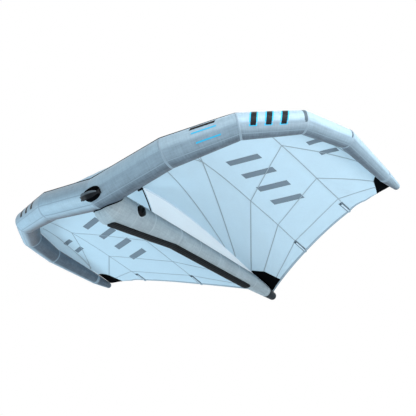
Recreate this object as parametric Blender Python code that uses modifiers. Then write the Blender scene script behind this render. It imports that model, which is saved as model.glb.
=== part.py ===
"""Wingfoil wing of the seven square metre class, in metres.

X runs along the span, Y runs aft and Z is up. The wing is drawn round the middle of its
leading edge tube and is moved at the end, so that the middle of its underside is the origin.
"""
import math

import bmesh
import bpy
import numpy as np
from mathutils import Matrix, Vector

# Driving sizes of the whole wing
half_span = 1.740
sweep_depth = 1.799
tip_rise = 0.424
root_chord = 2.640
root_camber = 0.235
tail_height = 0.169

# Leading edge tube: bends between the middle and the tip, and its sizes there
tube_radius = 0.133
bend_span_shares = (0.0, 0.379, 0.697, 0.902, 0.987, 0.996, 1.0)
bend_sweep_shares = (0.0, 0.029, 0.122, 0.310, 0.536, 0.890, 1.0)
bend_rise_shares = (0.0, 0.361, 0.634, 0.875, 0.965, 0.974, 1.0)
bend_radius_shares = (1.0, 0.953, 0.795, 0.694, 0.589, 0.401, 0.241)
tube_sides = 24

# Cloth, tape and clearance
sleeve_wall = 0.002
canopy_wall = 0.002
tape_thickness = 0.0015
gap = 0.0003
bladder_gap = 0.0008
bladder_wall = 0.001
overrun = 0.02
merge_distance = 0.00001

# Centre strut: stations along its length, with the height of its top and its radius there
strut_radius = 0.145
strut_station_shares = (0.0625, 0.351, 0.795, 0.871, 0.943)
strut_top_shares = (0.5328, 0.858, 1.166, 1.1, 0.9412)
strut_radius_shares = (1.0, 0.655, 0.552, 0.441, 0.283)
strut_sides = 24
tail_cap_length = 0.122
tail_cap_dome = 0.038

# Canopy ribs: bend number on the tube, place on the trailing edge and camber
rib_bends = (0.0, 0.93, 1.93, 3.6, 5.0, 5.9)
rib_span_shares = (0.0, 0.369, 0.717, 0.816, 0.8885)
rib_aft_shares = (1.0, 0.4549, 0.132, 0.0833, 0.0556, 0.0)
rib_rise_shares = (0.637, 0.908, 0.979, 1.026)
tip_chord_inward = 0.0222
tip_chord_aft = 0.0056
tip_chord_drop = 0.0128
rib_camber_shares = (1.0, 0.51, 0.277, 0.17, 0.05, 0.0)
rib_gap_bends = ((0.13, 0.25, 0.45, 0.63, 0.80), (1.0, 1.24, 1.48, 1.72),
                 (2.0, 2.3, 2.65, 3.0, 3.3), (4.0, 4.5), (5.3, 5.6), ())
chord_row_shares = (0.0, 0.012, 0.04, 0.08, 0.135, 0.2, 0.28, 0.38, 0.49, 0.6, 0.72,
                    0.836, 0.905, 0.987, 1.0)
camber_power_share = 0.6
seat_angle_middle = math.radians(60)
seat_angle_tip = math.radians(30)
scallop_depth = 0.018

# Batten pockets under the trailing edge, open through the hem, with a batten in each
pocket_half_width = 0.014
channel_half_width = 0.009
channel_depth = 0.006
batten_half_width = 0.0075
batten_thickness = 0.0025
batten_length_share = 0.9
batten_clearance = 0.0004

# Upright web between the strut and the canopy
web_thickness = 0.002
web_head_aft = 0.463
web_foot_aft = 0.630
web_binding_radius = 0.005
binding_end_clearance = 0.008

# Ribbed grip rail along the belly of the strut
rail_front_distance = 0.172
rail_length = 1.876
rail_thickness = 0.012
rail_rib_width = 0.0125
rail_groove_width = 0.0055
rail_groove_depth = 0.004
rail_rib_count = 5
rail_end_round = 0.014
rail_end_width_share = 0.72
rail_end_depth_share = 0.45

# Inflation valve on the right side of the strut
valve_aft = 0.363
valve_rise = 0.0077
valve_stand_off = 0.008
valve_rim_height = 0.002
valve_rim_clearance = 0.0012
valve_flange_radius = 0.049
valve_flange_depth = 0.020
valve_neck_radius = 0.034
valve_neck_depth = 0.047
valve_throat_radius = 0.024
valve_counterbore_radius = 0.030
valve_step_depth = 0.031
valve_pocket_depth = 0.078
cap_radius = 0.043
cap_height = 0.012
cap_rim_height = 0.007
cap_crown_radius = 0.031
cap_plug_radius = 0.0235
cap_plug_depth = 0.012
cap_bar_length = 0.056
cap_bar_width = 0.011
cap_bar_height = 0.008
cap_notch_radius = 0.006
flap_radius = 0.0275
flap_thickness = 0.0015

# Front handle on the leading edge tube
handle_angle_steps = 14.5
handle_half_length = 0.085
handle_side_shift = 0.012
handle_patch_bends = 0.19
handle_patch_steps = 3
handle_patch_thickness = 0.0025
handle_axis_height = 0.012
handle_finger_gap = 0.032
handle_middle_half_width = 0.029
handle_end_half_width = 0.012
handle_middle_half_thickness = 0.007
handle_end_half_thickness = 0.006
handle_station_shares = (-1.0, -0.93, -0.82, -0.66, -0.45, -0.2, 0.0, 0.2, 0.45, 0.66, 0.82,
                         0.93, 1.0)
oval_power_share = 0.8
anchor_length = 0.024
anchor_foot_half_width = 0.018
anchor_foot_half_thickness = 0.002

# Cord over the seam of strut and leading edge, and the air tube inside it
piping_radius = 0.004
piping_reach = math.radians(125)
piping_points = 45
air_tube_radius = 0.016
air_tube_bore = 0.012
air_tube_start = 0.090
air_tube_end = 0.176
air_tube_height = -0.050


# Collections, materials and basic makers

for old_object in list(bpy.data.objects):
    bpy.data.objects.remove(old_object, do_unlink=True)

wing = bpy.data.collections.new("wingfoil_wing")
cutters = bpy.data.collections.new("cutting_shapes")
bpy.context.scene.collection.children.link(wing)
bpy.context.scene.collection.children.link(cutters)


def make_material(name, colour, roughness, metallic=0.0):
    """A Principled material in one colour."""
    material = bpy.data.materials.new(name)
    material.use_nodes = True
    shader = material.node_tree.nodes["Principled BSDF"]
    shader.inputs["Base Color"].default_value = (*colour, 1.0)
    shader.inputs["Roughness"].default_value = roughness
    shader.inputs["Metallic"].default_value = metallic
    return material


sleeve_cloth = make_material("woven_sleeve_cloth", (0.33, 0.42, 0.49), 0.45)
canopy_cloth = make_material("canopy_ripstop", (0.52, 0.71, 0.86), 0.5)
web_cloth = make_material("web_ripstop", (0.78, 0.90, 0.97), 0.5)
patch_cloth = make_material("black_patch_cloth", (0.012, 0.014, 0.017), 0.6)
grip_foam = make_material("black_grip_foam", (0.02, 0.023, 0.027), 0.75)
hem_tape = make_material("grey_hem_tape", (0.25, 0.32, 0.38), 0.5)
bladder_film = make_material("clear_bladder_film", (0.75, 0.78, 0.80), 0.25)
black_plastic = make_material("black_moulded_plastic", (0.015, 0.016, 0.018), 0.35)
batten_glass = make_material("glass_fibre_batten", (0.80, 0.82, 0.80), 0.3)
tail_moulding = make_material("grey_tail_moulding", (0.07, 0.09, 0.11), 0.5)


def add_object(name, data, material=None):
    """Put a new object in the wing's collection."""
    made = bpy.data.objects.new(name, data)
    wing.objects.link(made)
    if material is not None:
        made.data.materials.append(material)
    return made


def add_mesh(name, points, faces, material, side=1, smooth=True):
    """An object from corners and faces. Side -1 mirrors it to the left."""
    corners = np.array(points, dtype=float).reshape(-1, 3)
    corners[:, 0] *= side
    mesh = bpy.data.meshes.new(name)
    mesh.from_pydata([tuple(corner) for corner in corners], [], faces)
    work = bmesh.new()
    work.from_mesh(mesh)
    bmesh.ops.recalc_face_normals(work, faces=work.faces)
    work.to_mesh(mesh)
    work.free()
    if smooth:
        mesh.shade_smooth()
        mesh.set_sharp_from_angle(angle=math.radians(30))
    return add_object(name, mesh, material)


def set_origin(made, place):
    """Move an object's origin without moving its shape."""
    here = Vector(place)
    made.data.transform(Matrix.Translation(-here))
    made.location = here


def make_cutter(made, target):
    """Turn an object into a cutter and take it out of the target."""
    if made.name not in cutters.objects:
        for collection in list(made.users_collection):
            collection.objects.unlink(made)
        cutters.objects.link(made)
    made.hide_render = True
    made.display_type = "WIRE"
    cut = target.modifiers.new("cut_" + made.name, "BOOLEAN")
    cut.operation = "DIFFERENCE"
    cut.solver = "EXACT"
    cut.object = made


def ring_faces(ring_count, sides, first=0):
    """Three-sided faces between rings that follow each other, all cut the same way."""
    faces = []
    for ring in range(ring_count - 1):
        low = first + ring * sides
        high = low + sides
        for side in range(sides):
            after = (side + 1) % sides
            faces.append((low + side, low + after, high + after))
            faces.append((low + side, high + after, high + side))
    return faces


def loft_solid(name, rings, material, side=1):
    """A closed solid through rings of corners, with flat ends."""
    rings = np.array(rings)
    count, sides = rings.shape[:2]
    faces = ring_faces(count, sides)
    faces.append(tuple(range(sides))[::-1])
    faces.append(tuple(range((count - 1) * sides, count * sides)))
    return add_mesh(name, rings, faces, material, side)


def loft_pipe(name, outer, inner, material, side=1):
    """An open pipe: out along the outer rings and back along the inner ones."""
    loop = np.concatenate([np.array(outer), np.array(inner)[::-1]])
    count, sides = loop.shape[:2]
    faces = ring_faces(count, sides)
    last = (count - 1) * sides
    for place in range(sides):
        after = (place + 1) % sides
        faces.append((last + place, last + after, after, place))
    return add_mesh(name, loop, faces, material, side)


def loft_cup(name, outer, inner, material, side=1):
    """A cup that is open at its first ring and closed at its last."""
    outer = np.array(outer)
    inner = np.array(inner)
    count, sides = outer.shape[:2]
    first_inner = count * sides
    faces = ring_faces(count, sides) + ring_faces(len(inner), sides, first_inner)
    faces.append(tuple(range(first_inner - sides, first_inner)))
    faces.append(tuple(range(first_inner + (len(inner) - 1) * sides,
                             first_inner + len(inner) * sides)))
    for place in range(sides):
        after = (place + 1) % sides
        faces.append((place, after, first_inner + after, first_inner + place))
    return add_mesh(name, np.concatenate([outer, inner]), faces, material, side)


def turned(name, profile, material, place, closed=False, steps=32):
    """A profile of (radius, height) pairs turned about an axis along +X."""
    mesh = bpy.data.meshes.new(name)
    corners = [(radius, 0.0, height) for radius, height in profile]
    edges = [(number, number + 1) for number in range(len(corners) - 1)]
    if closed:
        edges.append((len(corners) - 1, 0))
    mesh.from_pydata(corners, edges, [])
    made = add_object(name, mesh, material)
    screw = made.modifiers.new("turn", "SCREW")
    screw.steps = steps
    screw.render_steps = steps
    screw.use_merge_vertices = True
    screw.merge_threshold = merge_distance
    screw.use_smooth_shade = True
    made.location = place
    made.rotation_euler = (0.0, math.pi / 2, 0.0)
    return made


def cylinder(name, radius, start, end, sides=32):
    """A plain cylinder between two points."""
    first = Vector(start)
    last = Vector(end)
    mesh = bpy.data.meshes.new(name)
    work = bmesh.new()
    bmesh.ops.create_cone(work, cap_ends=True, segments=sides, radius1=radius,
                          radius2=radius, depth=(last - first).length)
    work.to_mesh(mesh)
    work.free()
    made = add_object(name, mesh)
    made.location = (first + last) / 2
    made.rotation_euler = (last - first).to_track_quat("Z", "Y").to_euler()
    return made


def box(name, size, place, turn=None, material=None):
    """A box of the given size, moved and turned."""
    mesh = bpy.data.meshes.new(name)
    work = bmesh.new()
    bmesh.ops.create_cube(work, size=1.0)
    bmesh.ops.scale(work, vec=size, verts=work.verts)
    work.to_mesh(mesh)
    work.free()
    made = add_object(name, mesh, material)
    made.location = place
    if turn is not None:
        made.rotation_euler = turn
    return made


def cord(name, points, radius, material):
    """A round cord through points, with filled ends."""
    data = bpy.data.curves.new(name, "CURVE")
    data.dimensions = "3D"
    data.bevel_depth = radius
    data.bevel_resolution = 2
    data.use_fill_caps = True
    spline = data.splines.new("POLY")
    spline.points.add(len(points) - 1)
    for knot, place in zip(spline.points, points):
        knot.co = (*place, 1.0)
    return add_object(name, data, material)


# Leading edge tube

bends = np.column_stack([half_span * np.array(bend_span_shares),
                         sweep_depth * np.array(bend_sweep_shares),
                         tip_rise * np.array(bend_rise_shares)])
bend_radii = tube_radius * np.array(bend_radius_shares)
last_bend = len(bends) - 1
ring_turns = np.arange(tube_sides) * 2 * math.pi / tube_sides
upward = np.array([0.0, 0.0, 1.0])
spanward = np.array([1.0, 0.0, 0.0])


def unit(vector):
    """A vector brought to length one."""
    return vector / np.linalg.norm(vector)


def bend_direction(number):
    """The direction of the tube at a bend, halfway between its two panels."""
    if number == 0:
        return spanward
    before = unit(bends[number] - bends[number - 1])
    if number == last_bend:
        return before
    return unit(before + unit(bends[number + 1] - bends[number]))


def bend_ring(number, extra=0.0, shift=0.0):
    """The tube's section at a bend, in the plane where its two panels meet."""
    along = bend_direction(number)
    up = unit(upward - (upward @ along) * along)
    aft = np.cross(up, along)
    radius = bend_radii[number] + extra
    middle = bends[number] + shift * along
    return (middle + radius * np.outer(np.cos(ring_turns), aft)
            + radius * np.outer(np.sin(ring_turns), up))


def tube_ring(bend, extra=0.0):
    """The tube's section at a place between bends, such as 2.5."""
    number = min(int(bend), last_bend - 1)
    share = bend - number
    return ((1 - share) * bend_ring(number, extra)
            + share * bend_ring(number + 1, extra))


def tube_surface(bend, angle, extra=0.0):
    """A point on the tube. Angle 0 is its rear side and 90 degrees its top."""
    ring = tube_ring(bend, extra)
    step = (angle / (2 * math.pi) * tube_sides) % tube_sides
    low = int(step)
    share = step - low
    return (1 - share) * ring[low] + share * ring[(low + 1) % tube_sides]


side_names = {1: "right", -1: "left"}
sleeve_panels = {}
for side, side_name in side_names.items():
    for number in range(last_bend):
        outer = [bend_ring(number, 0.0, gap / 2), bend_ring(number + 1, 0.0, -gap / 2)]
        inner = [bend_ring(number, -sleeve_wall, gap / 2),
                 bend_ring(number + 1, -sleeve_wall, -gap / 2)]
        panel_name = "leading_edge_panel_%d_%s" % (number + 1, side_name)
        sleeve_panels[number, side] = loft_pipe(panel_name, outer, inner, sleeve_cloth, side)

    tip_direction = bend_direction(last_bend)
    tip_radius = bend_radii[last_bend]
    dome_angles = np.radians((0, 25, 50, 70, 84))
    tip_middle = bends[last_bend] + gap / 2 * tip_direction
    tip_rings = {}
    for wall in (0.0, sleeve_wall):
        flat_ring = bend_ring(last_bend, -wall) - bends[last_bend]
        tip_rings[wall] = [tip_middle + flat_ring * math.cos(angle)
                           + (tip_radius - wall) * math.sin(angle) * tip_direction
                           for angle in dome_angles]
    loft_cup("leading_edge_tip_cap_" + side_name, tip_rings[0.0],
             tip_rings[sleeve_wall], sleeve_cloth, side)

mirror = np.array([-1.0, 1.0, 1.0])


def tube_filling(name, extra, end_inset, material):
    """A solid that fills the tube from tip to tip."""
    right_rings = [bend_ring(number, extra) for number in range(last_bend)]
    right_rings.append(bend_ring(last_bend, extra, -end_inset))
    left_rings = [ring * mirror for ring in right_rings[:0:-1]]
    return loft_solid(name, left_rings + right_rings, material)


bladder_extra = -sleeve_wall - bladder_gap
leading_edge_bladder = tube_filling("leading_edge_bladder", bladder_extra, 0.0, bladder_film)
leading_edge_air = tube_filling("leading_edge_air_cutter", bladder_extra - bladder_wall,
                                bladder_wall, None)
make_cutter(leading_edge_air, leading_edge_bladder)


# Centre strut

trailing_aft = root_chord - tube_radius
strut_stations = root_chord * np.array(strut_station_shares)
strut_radii = strut_radius * np.array(strut_radius_shares)
strut_heights = tail_height * np.array(strut_top_shares) - strut_radii
nose_middle = strut_stations[0]
tail_cap_start = strut_stations[-1] - tail_cap_length + tail_cap_dome


def strut_height(aft):
    """Height of the strut's middle line."""
    return np.interp(aft, strut_stations, strut_heights)


def strut_reach(aft, outset=0.0):
    """Radius of the strut, with its round nose, or of a skin outside it."""
    if aft < nose_middle:
        return math.sqrt(max((strut_radius + outset)**2 - (nose_middle - aft)**2, gap**2))
    return float(np.interp(aft, strut_stations, strut_radii)) + outset


strut_turns = np.arange(strut_sides) * 2 * math.pi / strut_sides


def strut_ring(aft, inset=0.0, radius=None):
    """An upright section of the strut."""
    reach = (strut_reach(aft) if radius is None else radius) - inset
    return np.column_stack([reach * np.cos(strut_turns), np.full(strut_sides, aft),
                            strut_height(aft) + reach * np.sin(strut_turns)])


def nose_rings(inset):
    """Rings of the round nose, from its widest place to its front."""
    reach = strut_radius - inset
    return [strut_ring(nose_middle - reach * math.sin(angle), 0.0, reach * math.cos(angle))
            for angle in np.radians((15, 30, 45, 60, 73, 85))]


kink = strut_stations[1]
front_stations = list(np.linspace(kink, nose_middle, 6))
front_stations[0] -= gap / 2
outer = [strut_ring(aft) for aft in front_stations] + nose_rings(0.0)
inner = [strut_ring(aft, sleeve_wall) for aft in front_stations] + nose_rings(sleeve_wall)
strut_sleeve_front = loft_cup("strut_sleeve_front", outer, inner, sleeve_cloth)

rear_stations = [kink + gap / 2, *strut_stations[2:-1], tail_cap_start]
loft_pipe("strut_sleeve_rear", [strut_ring(aft) for aft in rear_stations],
          [strut_ring(aft, sleeve_wall) for aft in rear_stations], sleeve_cloth)

bladder_inset = sleeve_wall + bladder_gap
bladder_stations = [*rear_stations[::-1], *front_stations[1:]]
bladder_rings = [strut_ring(aft, bladder_inset) for aft in bladder_stations]
strut_bladder = loft_solid("strut_bladder", bladder_rings + nose_rings(bladder_inset),
                           bladder_film)
air_inset = bladder_inset + bladder_wall
air_stations = [bladder_stations[0] - bladder_wall, *bladder_stations[1:]]
air_rings = [strut_ring(aft, air_inset) for aft in air_stations]
strut_air = loft_solid("strut_air_cutter", air_rings + nose_rings(air_inset), None)
make_cutter(strut_air, strut_bladder)

tail_end = strut_stations[-1]
tail_radius = strut_radii[-1]
tail_rings = [strut_ring(tail_cap_start + gap), strut_ring(tail_end)]
for angle in np.radians((25, 50, 70, 84)):
    tail_rings.append(strut_ring(tail_end + tail_cap_dome * math.sin(angle), 0.0,
                                 tail_radius * math.cos(angle)))
loft_solid("strut_tail_cap", tail_rings, tail_moulding)


def tube_seat(name, extra):
    """A solid of the tube's two middle panels with a skin outside them."""
    rings = [bend_ring(1, extra) * mirror, bend_ring(0, extra, -gap),
             bend_ring(0, extra, gap), bend_ring(1, extra)]
    return loft_solid(name, rings, None)


seat_cutter = tube_seat("leading_edge_seat_cutter", gap)
make_cutter(seat_cutter, strut_sleeve_front)
make_cutter(seat_cutter, strut_bladder)
make_cutter(tube_seat("strut_air_seat_cutter", gap + bladder_wall), strut_air)


# Air tube between the two bladders, inside the sleeves

air_cutter = cylinder("air_tube_cutter", air_tube_radius + gap,
                      (0.0, air_tube_start - gap, air_tube_height),
                      (0.0, air_tube_end + gap, air_tube_height))
for pierced in (sleeve_panels[0, 1], sleeve_panels[0, -1], leading_edge_bladder,
                strut_bladder):
    make_cutter(air_cutter, pierced)
air_tube = turned("one_pump_air_tube",
                  ((air_tube_bore, air_tube_end - air_tube_start),
                   (air_tube_radius, air_tube_end - air_tube_start),
                   (air_tube_radius, 0.0), (air_tube_bore, 0.0)),
                  bladder_film, (0.0, air_tube_start, air_tube_height), closed=True, steps=24)
air_tube.rotation_euler = (-math.pi / 2, 0.0, 0.0)


# Cord sewn over the seam where the strut meets the leading edge

def tube_distance(place):
    """Distance of a point from the first panel of the tube, on either side."""
    mirrored = np.array([abs(place[0]), place[1], place[2]])
    run = bends[1] - bends[0]
    share = np.clip(mirrored @ run / (run @ run), 0.0, 1.0)
    radius = (1 - share) * bend_radii[0] + share * bend_radii[1]
    return np.linalg.norm(mirrored - share * run) - radius


def seam_point(turn):
    """Where the cord lies in the corner of strut and tube. Turn 0 is the belly."""
    clear = piping_radius + 2 * gap

    def strut_point(aft):
        reach = strut_reach(aft, clear)
        return np.array([reach * math.sin(turn), aft,
                         strut_height(aft) - reach * math.cos(turn)])

    near = nose_middle - strut_radius - clear
    far = kink
    for _ in range(40):
        middle = (near + far) / 2
        if tube_distance(strut_point(middle)) > clear:
            far = middle
        else:
            near = middle
    return strut_point(far)


cord("strut_seam_piping", [seam_point(turn) for turn in
                           np.linspace(-piping_reach, piping_reach, piping_points)],
     piping_radius, patch_cloth)


# Canopy, from cambered ribs between the tube and the trailing edge

tip_patch_rib = 4


def seat_point(bend):
    """Where the canopy's upper side starts, just inside the tube's upper rear."""
    seat_angle = seat_angle_middle + (seat_angle_tip - seat_angle_middle) * bend / last_bend
    seat_depth = canopy_wall + gap
    if bend >= rib_bends[tip_patch_rib]:
        seat_depth += 2 * (tape_thickness + gap)
    return tube_surface(bend, seat_angle, seat_depth)


tip_chord = np.array([-tip_chord_inward, tip_chord_aft, -tip_chord_drop])
tip_corner = seat_point(rib_bends[-1]) + tip_chord
rib_spans = np.array([*(half_span * np.array(rib_span_shares)), tip_corner[0]])
rib_afts = tip_corner[1] + (trailing_aft - tip_corner[1]) * np.array(rib_aft_shares)
rib_rises = np.array([tail_height, *(tip_rise * np.array(rib_rise_shares)), tip_corner[2]])
rib_cambers = root_camber * np.array(rib_camber_shares)


def smooth_between(places, values, place):
    """A smooth curve through values, with the slope of each place's neighbours."""
    slopes = np.gradient(values, places)
    number = int(np.clip(np.searchsorted(places, place) - 1, 0, len(places) - 2))
    width = places[number + 1] - places[number]
    share = (place - places[number]) / width
    rising = share**2 * (3 - 2 * share)
    return ((1 - rising) * values[number] + rising * values[number + 1]
            + width * share * (1 - share)
            * ((1 - share) * slopes[number] - share * slopes[number + 1]))


def trailing_point(span):
    """A point on the trailing edge, scalloped between ribs."""
    number = int(np.clip(np.searchsorted(rib_spans, span) - 1, 0, len(rib_spans) - 2))
    share = (span - rib_spans[number]) / (rib_spans[number + 1] - rib_spans[number])
    hollow = scallop_depth * 4 * share * (1 - share)
    if number > 2:
        hollow = 0.0
    aft = np.interp(span, rib_spans, rib_afts) - hollow
    return np.array([span, aft, smooth_between(rib_spans, rib_rises, span)])


has_batten = (False, True, True, False, False, False)
pocket_lines = (-pocket_half_width, -channel_half_width, channel_half_width,
                pocket_half_width)
rib_columns = []
for bend, span, batten in zip(rib_bends, rib_spans, has_batten):
    panel_length = np.linalg.norm(bends[int(bend) + 1] - bends[int(bend)])
    offsets = pocket_lines if batten else (0.0,)
    rib_columns.append([(bend + offset / panel_length, span + offset) for offset in offsets])

columns = []
batten_columns = []
for number, lines in enumerate(rib_columns):
    if has_batten[number]:
        batten_columns.append(len(columns))
    columns += lines
    if number == 0:
        web_side = web_thickness / 2 + 2 * gap
        columns.append((web_side / bends[1, 0], web_side))
    if number + 1 < len(rib_columns):
        start_bend, start_span = lines[-1]
        end_bend, end_span = rib_columns[number + 1][0]
        for between in rib_gap_bends[number]:
            share = (between - start_bend) / (end_bend - start_bend)
            columns.append((between, start_span + share * (end_span - start_span)))

chord_rows = np.array(chord_row_shares)
canopy_top = np.zeros((len(columns), len(chord_rows), 3))
for number, (bend, span) in enumerate(columns):
    front = seat_point(bend)
    back = trailing_point(span)
    camber = smooth_between(rib_spans, rib_cambers, span)
    straight = front + np.outer(chord_rows, back - front)
    straight[:, 2] += camber * np.sin(math.pi * chord_rows**camber_power_share)
    canopy_top[number] = straight
canopy_top[0, :, 0] = gap / 2

along_span = np.gradient(canopy_top, axis=0)
along_chord = np.gradient(canopy_top, axis=1)
canopy_normals = np.cross(along_span, along_chord)
canopy_normals /= np.linalg.norm(canopy_normals, axis=2, keepdims=True)
canopy_normals[0, :, 0] = 0.0


def pulled_in(edge, inside, distance):
    """Points of an edge moved a distance towards the points inside it."""
    run = inside - edge
    return edge + distance * run / np.linalg.norm(run, axis=1, keepdims=True)


def cloth_slab(name, first_column, last_column, first_row, last_row, near, far,
               material, side, trim=gap):
    """Cloth that follows the canopy between two depths below its upper side."""
    top = canopy_top[first_column:last_column + 1, first_row:last_row + 1].copy()
    top[0] = pulled_in(top[0], top[1], trim)
    top[-1] = pulled_in(top[-1], top[-2], trim)
    top[:, 0] = pulled_in(top[:, 0], top[:, 1], trim)
    top[:, -1] = pulled_in(top[:, -1], top[:, -2], trim)
    normals = canopy_normals[first_column:last_column + 1, first_row:last_row + 1]
    wide, long = top.shape[:2]
    near = np.broadcast_to(near, (wide, long))[..., None]
    far = np.broadcast_to(far, (wide, long))[..., None]
    points = np.concatenate([(top - near * normals).reshape(-1, 3),
                             (top - far * normals).reshape(-1, 3)])
    under = wide * long
    faces = []
    for column in range(wide - 1):
        for row in range(long - 1):
            a = column * long + row
            b = a + long
            for level in (0, under):
                faces.append((level + a, level + b, level + b + 1))
                faces.append((level + a, level + b + 1, level + a + 1))
    rim = ([column * long for column in range(wide)]
           + [(wide - 1) * long + row for row in range(1, long)]
           + [column * long + long - 1 for column in range(wide - 2, -1, -1)]
           + [row for row in range(long - 2, 0, -1)])
    for place, corner in enumerate(rim):
        after = rim[(place + 1) % len(rim)]
        faces.append((corner, after, under + after, under + corner))
    return add_mesh(name, points, faces, material, side)


last_column = len(columns) - 1
last_row = len(chord_rows) - 1
hem_row = last_row - 1
pocket_row = last_row - 2
tail_patch_row = last_row - 3
column_bends = [bend for bend, span in columns]
tail_patch_column = column_bends.index(rib_gap_bends[0][1])
tip_patch_column = column_bends.index(rib_bends[tip_patch_rib])
under_canopy = canopy_wall + gap
under_tape = under_canopy + tape_thickness

hem_bulge = np.zeros((tip_patch_column + 1, 2))
for first in batten_columns:
    hem_bulge[first + 1:first + 3] = channel_depth

for side, side_name in side_names.items():
    cloth_slab("canopy_" + side_name, 0, last_column, 0, last_row, 0.0, canopy_wall,
               canopy_cloth, side, trim=0.0)
    cloth_slab("trailing_edge_hem_" + side_name, 0, tip_patch_column, hem_row, last_row,
               under_canopy + hem_bulge, under_tape + hem_bulge, hem_tape, side)
    cloth_slab("tail_patch_" + side_name, 1, tail_patch_column, tail_patch_row,
               hem_row, under_canopy, under_tape, patch_cloth, side)
    cloth_slab("tip_patch_" + side_name, tip_patch_column, last_column, 0, last_row,
               under_canopy, under_tape, patch_cloth, side)

    for place, first in zip(("inner", "outer"), batten_columns):
        bulge = np.zeros((4, 2))
        bulge[1:3] = channel_depth
        cloth_slab("batten_pocket_%s_%s" % (place, side_name), first, first + 3,
                   pocket_row, hem_row, under_canopy + bulge, under_tape + bulge,
                   hem_tape, side)

        edge = (canopy_top[first + 1:first + 3, pocket_row:hem_row + 1]
                - under_canopy * canopy_normals[first + 1:first + 3,
                                                pocket_row:hem_row + 1])
        front = edge[:, 0].mean(axis=0)
        back = edge[:, 1].mean(axis=0)
        down = -canopy_normals[first + 1, pocket_row:hem_row + 1].mean(axis=0)
        forward = unit(back - front)
        down = unit(down - (down @ forward) * forward)
        middle = (front + back) / 2 + (batten_clearance + batten_thickness / 2) * down
        middle[0] *= side
        forward[0] *= side
        down[0] *= side
        across = np.cross(forward, down)
        turn = Matrix((across, forward, down)).transposed().to_3x3()
        batten = box("batten_%s_%s" % (place, side_name),
                     (2 * batten_half_width,
                      batten_length_share * np.linalg.norm(back - front), batten_thickness),
                     middle, turn.to_euler(), batten_glass)
        rounding = batten.modifiers.new("rounded_ends", "BEVEL")
        rounding.width = batten_thickness / 4
        rounding.segments = 1


# Upright web and the binding on its front edge

def canopy_underside(aft):
    """Height just below the canopy along the middle of the wing."""
    line = canopy_top[0] - (canopy_wall + 2 * gap) / canopy_normals[0, :, 2:] * upward
    return float(np.interp(aft, line[:, 1], line[:, 2]))


def strut_top(aft):
    """Height just above the strut along the middle of the wing."""
    return float(strut_height(aft)) + strut_reach(aft) + gap


web_end = tail_cap_start
foot_stations = [aft for aft in strut_stations if web_foot_aft < aft < web_end]
head_stations = [aft for aft in canopy_top[0, :, 1] if web_head_aft < aft < web_end]
web_outline = ([(aft, strut_top(aft)) for aft in (web_foot_aft, *foot_stations, web_end)]
               + [(aft, canopy_underside(aft))
                  for aft in (web_end, *head_stations[::-1], web_head_aft)])
web_curve = bpy.data.curves.new("web_panel", "CURVE")
web_curve.dimensions = "2D"
web_curve.fill_mode = "BOTH"
web_curve.extrude = web_thickness / 2
web_spline = web_curve.splines.new("POLY")
web_spline.points.add(len(web_outline) - 1)
for knot, (aft, height) in zip(web_spline.points, web_outline):
    knot.co = (aft, height, 0.0, 1.0)
web_spline.use_cyclic_u = True
web_panel = add_object("web_panel", web_curve, web_cloth)
web_panel.rotation_euler = (math.pi / 2, 0.0, math.pi / 2)

head = np.array([0.0, web_head_aft, canopy_underside(web_head_aft)])
foot = np.array([0.0, web_foot_aft, strut_top(web_foot_aft)])
edge_direction = unit(foot - head)
edge_out = np.cross(spanward, edge_direction)
edge_shift = (web_binding_radius + gap) * edge_out
if edge_shift[1] > 0:
    edge_shift = -edge_shift
binding_ends = (head + edge_shift + binding_end_clearance * edge_direction,
                foot + edge_shift - binding_end_clearance * edge_direction)
cord("web_front_binding", binding_ends, web_binding_radius, patch_cloth)


# Ribbed grip rail on the belly of the strut

rail_start = rail_front_distance
rail_end = rail_start + rail_length
rail_width = (rail_rib_count * rail_rib_width
              + (rail_rib_count - 1) * rail_groove_width)


def rail_section(aft, width_share, depth_share):
    """A section of the rail: a hollow back on the strut and ribs below."""
    reach = strut_reach(aft)
    half = rail_width / 2 * width_share
    back_angles = np.linspace(-half, half, 7) / reach
    back_reach = (reach + gap) / math.cos((back_angles[1] - back_angles[0]) / 2)
    tip_reach = reach + gap + rail_thickness * depth_share
    groove_reach = tip_reach - rail_groove_depth * depth_share
    corners = [(angle, back_reach) for angle in back_angles]
    edge = half
    for rib in range(rail_rib_count):
        corners.append((edge / reach, tip_reach))
        edge -= rail_rib_width * width_share
        corners.append((edge / reach, tip_reach))
        if rib + 1 < rail_rib_count:
            corners.append((edge / reach, groove_reach))
            edge -= rail_groove_width * width_share
            corners.append((edge / reach, groove_reach))
    middle = strut_height(aft)
    return [(distance * math.sin(angle), aft, middle - distance * math.cos(angle))
            for angle, distance in corners]


rail_stations = [(rail_start, rail_end_width_share, rail_end_depth_share),
                 (rail_start + rail_end_round, 1.0, 1.0)]
front_run = np.linspace(rail_start + rail_end_round, kink, 6)[1:]
rear_run = np.linspace(kink, rail_end - rail_end_round, 6)[1:]
rail_stations += [(aft, 1.0, 1.0) for aft in (*front_run, *rear_run)]
rail_stations.append((rail_end, rail_end_width_share, rail_end_depth_share))
loft_solid("grip_rail", [rail_section(*station) for station in rail_stations], grip_foam)


# Inflation valve on the strut's right side

valve_seat = strut_reach(valve_aft)
valve_height = float(strut_height(valve_aft)) + valve_rise
valve_place = (valve_seat, valve_aft, valve_height)
flange_top = valve_stand_off
rim_top = flange_top + valve_rim_height
rim_radius = cap_radius + valve_rim_clearance
valve_base = turned("valve_base", (
    (valve_throat_radius, flange_top), (rim_radius, flange_top),
    (rim_radius, rim_top), (valve_flange_radius, rim_top),
    (valve_flange_radius, -valve_flange_depth), (valve_neck_radius, -valve_flange_depth),
    (valve_neck_radius, -valve_neck_depth), (valve_counterbore_radius, -valve_neck_depth),
    (valve_counterbore_radius, -valve_step_depth), (valve_throat_radius, -valve_step_depth)),
    black_plastic, valve_place, closed=True)

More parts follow.
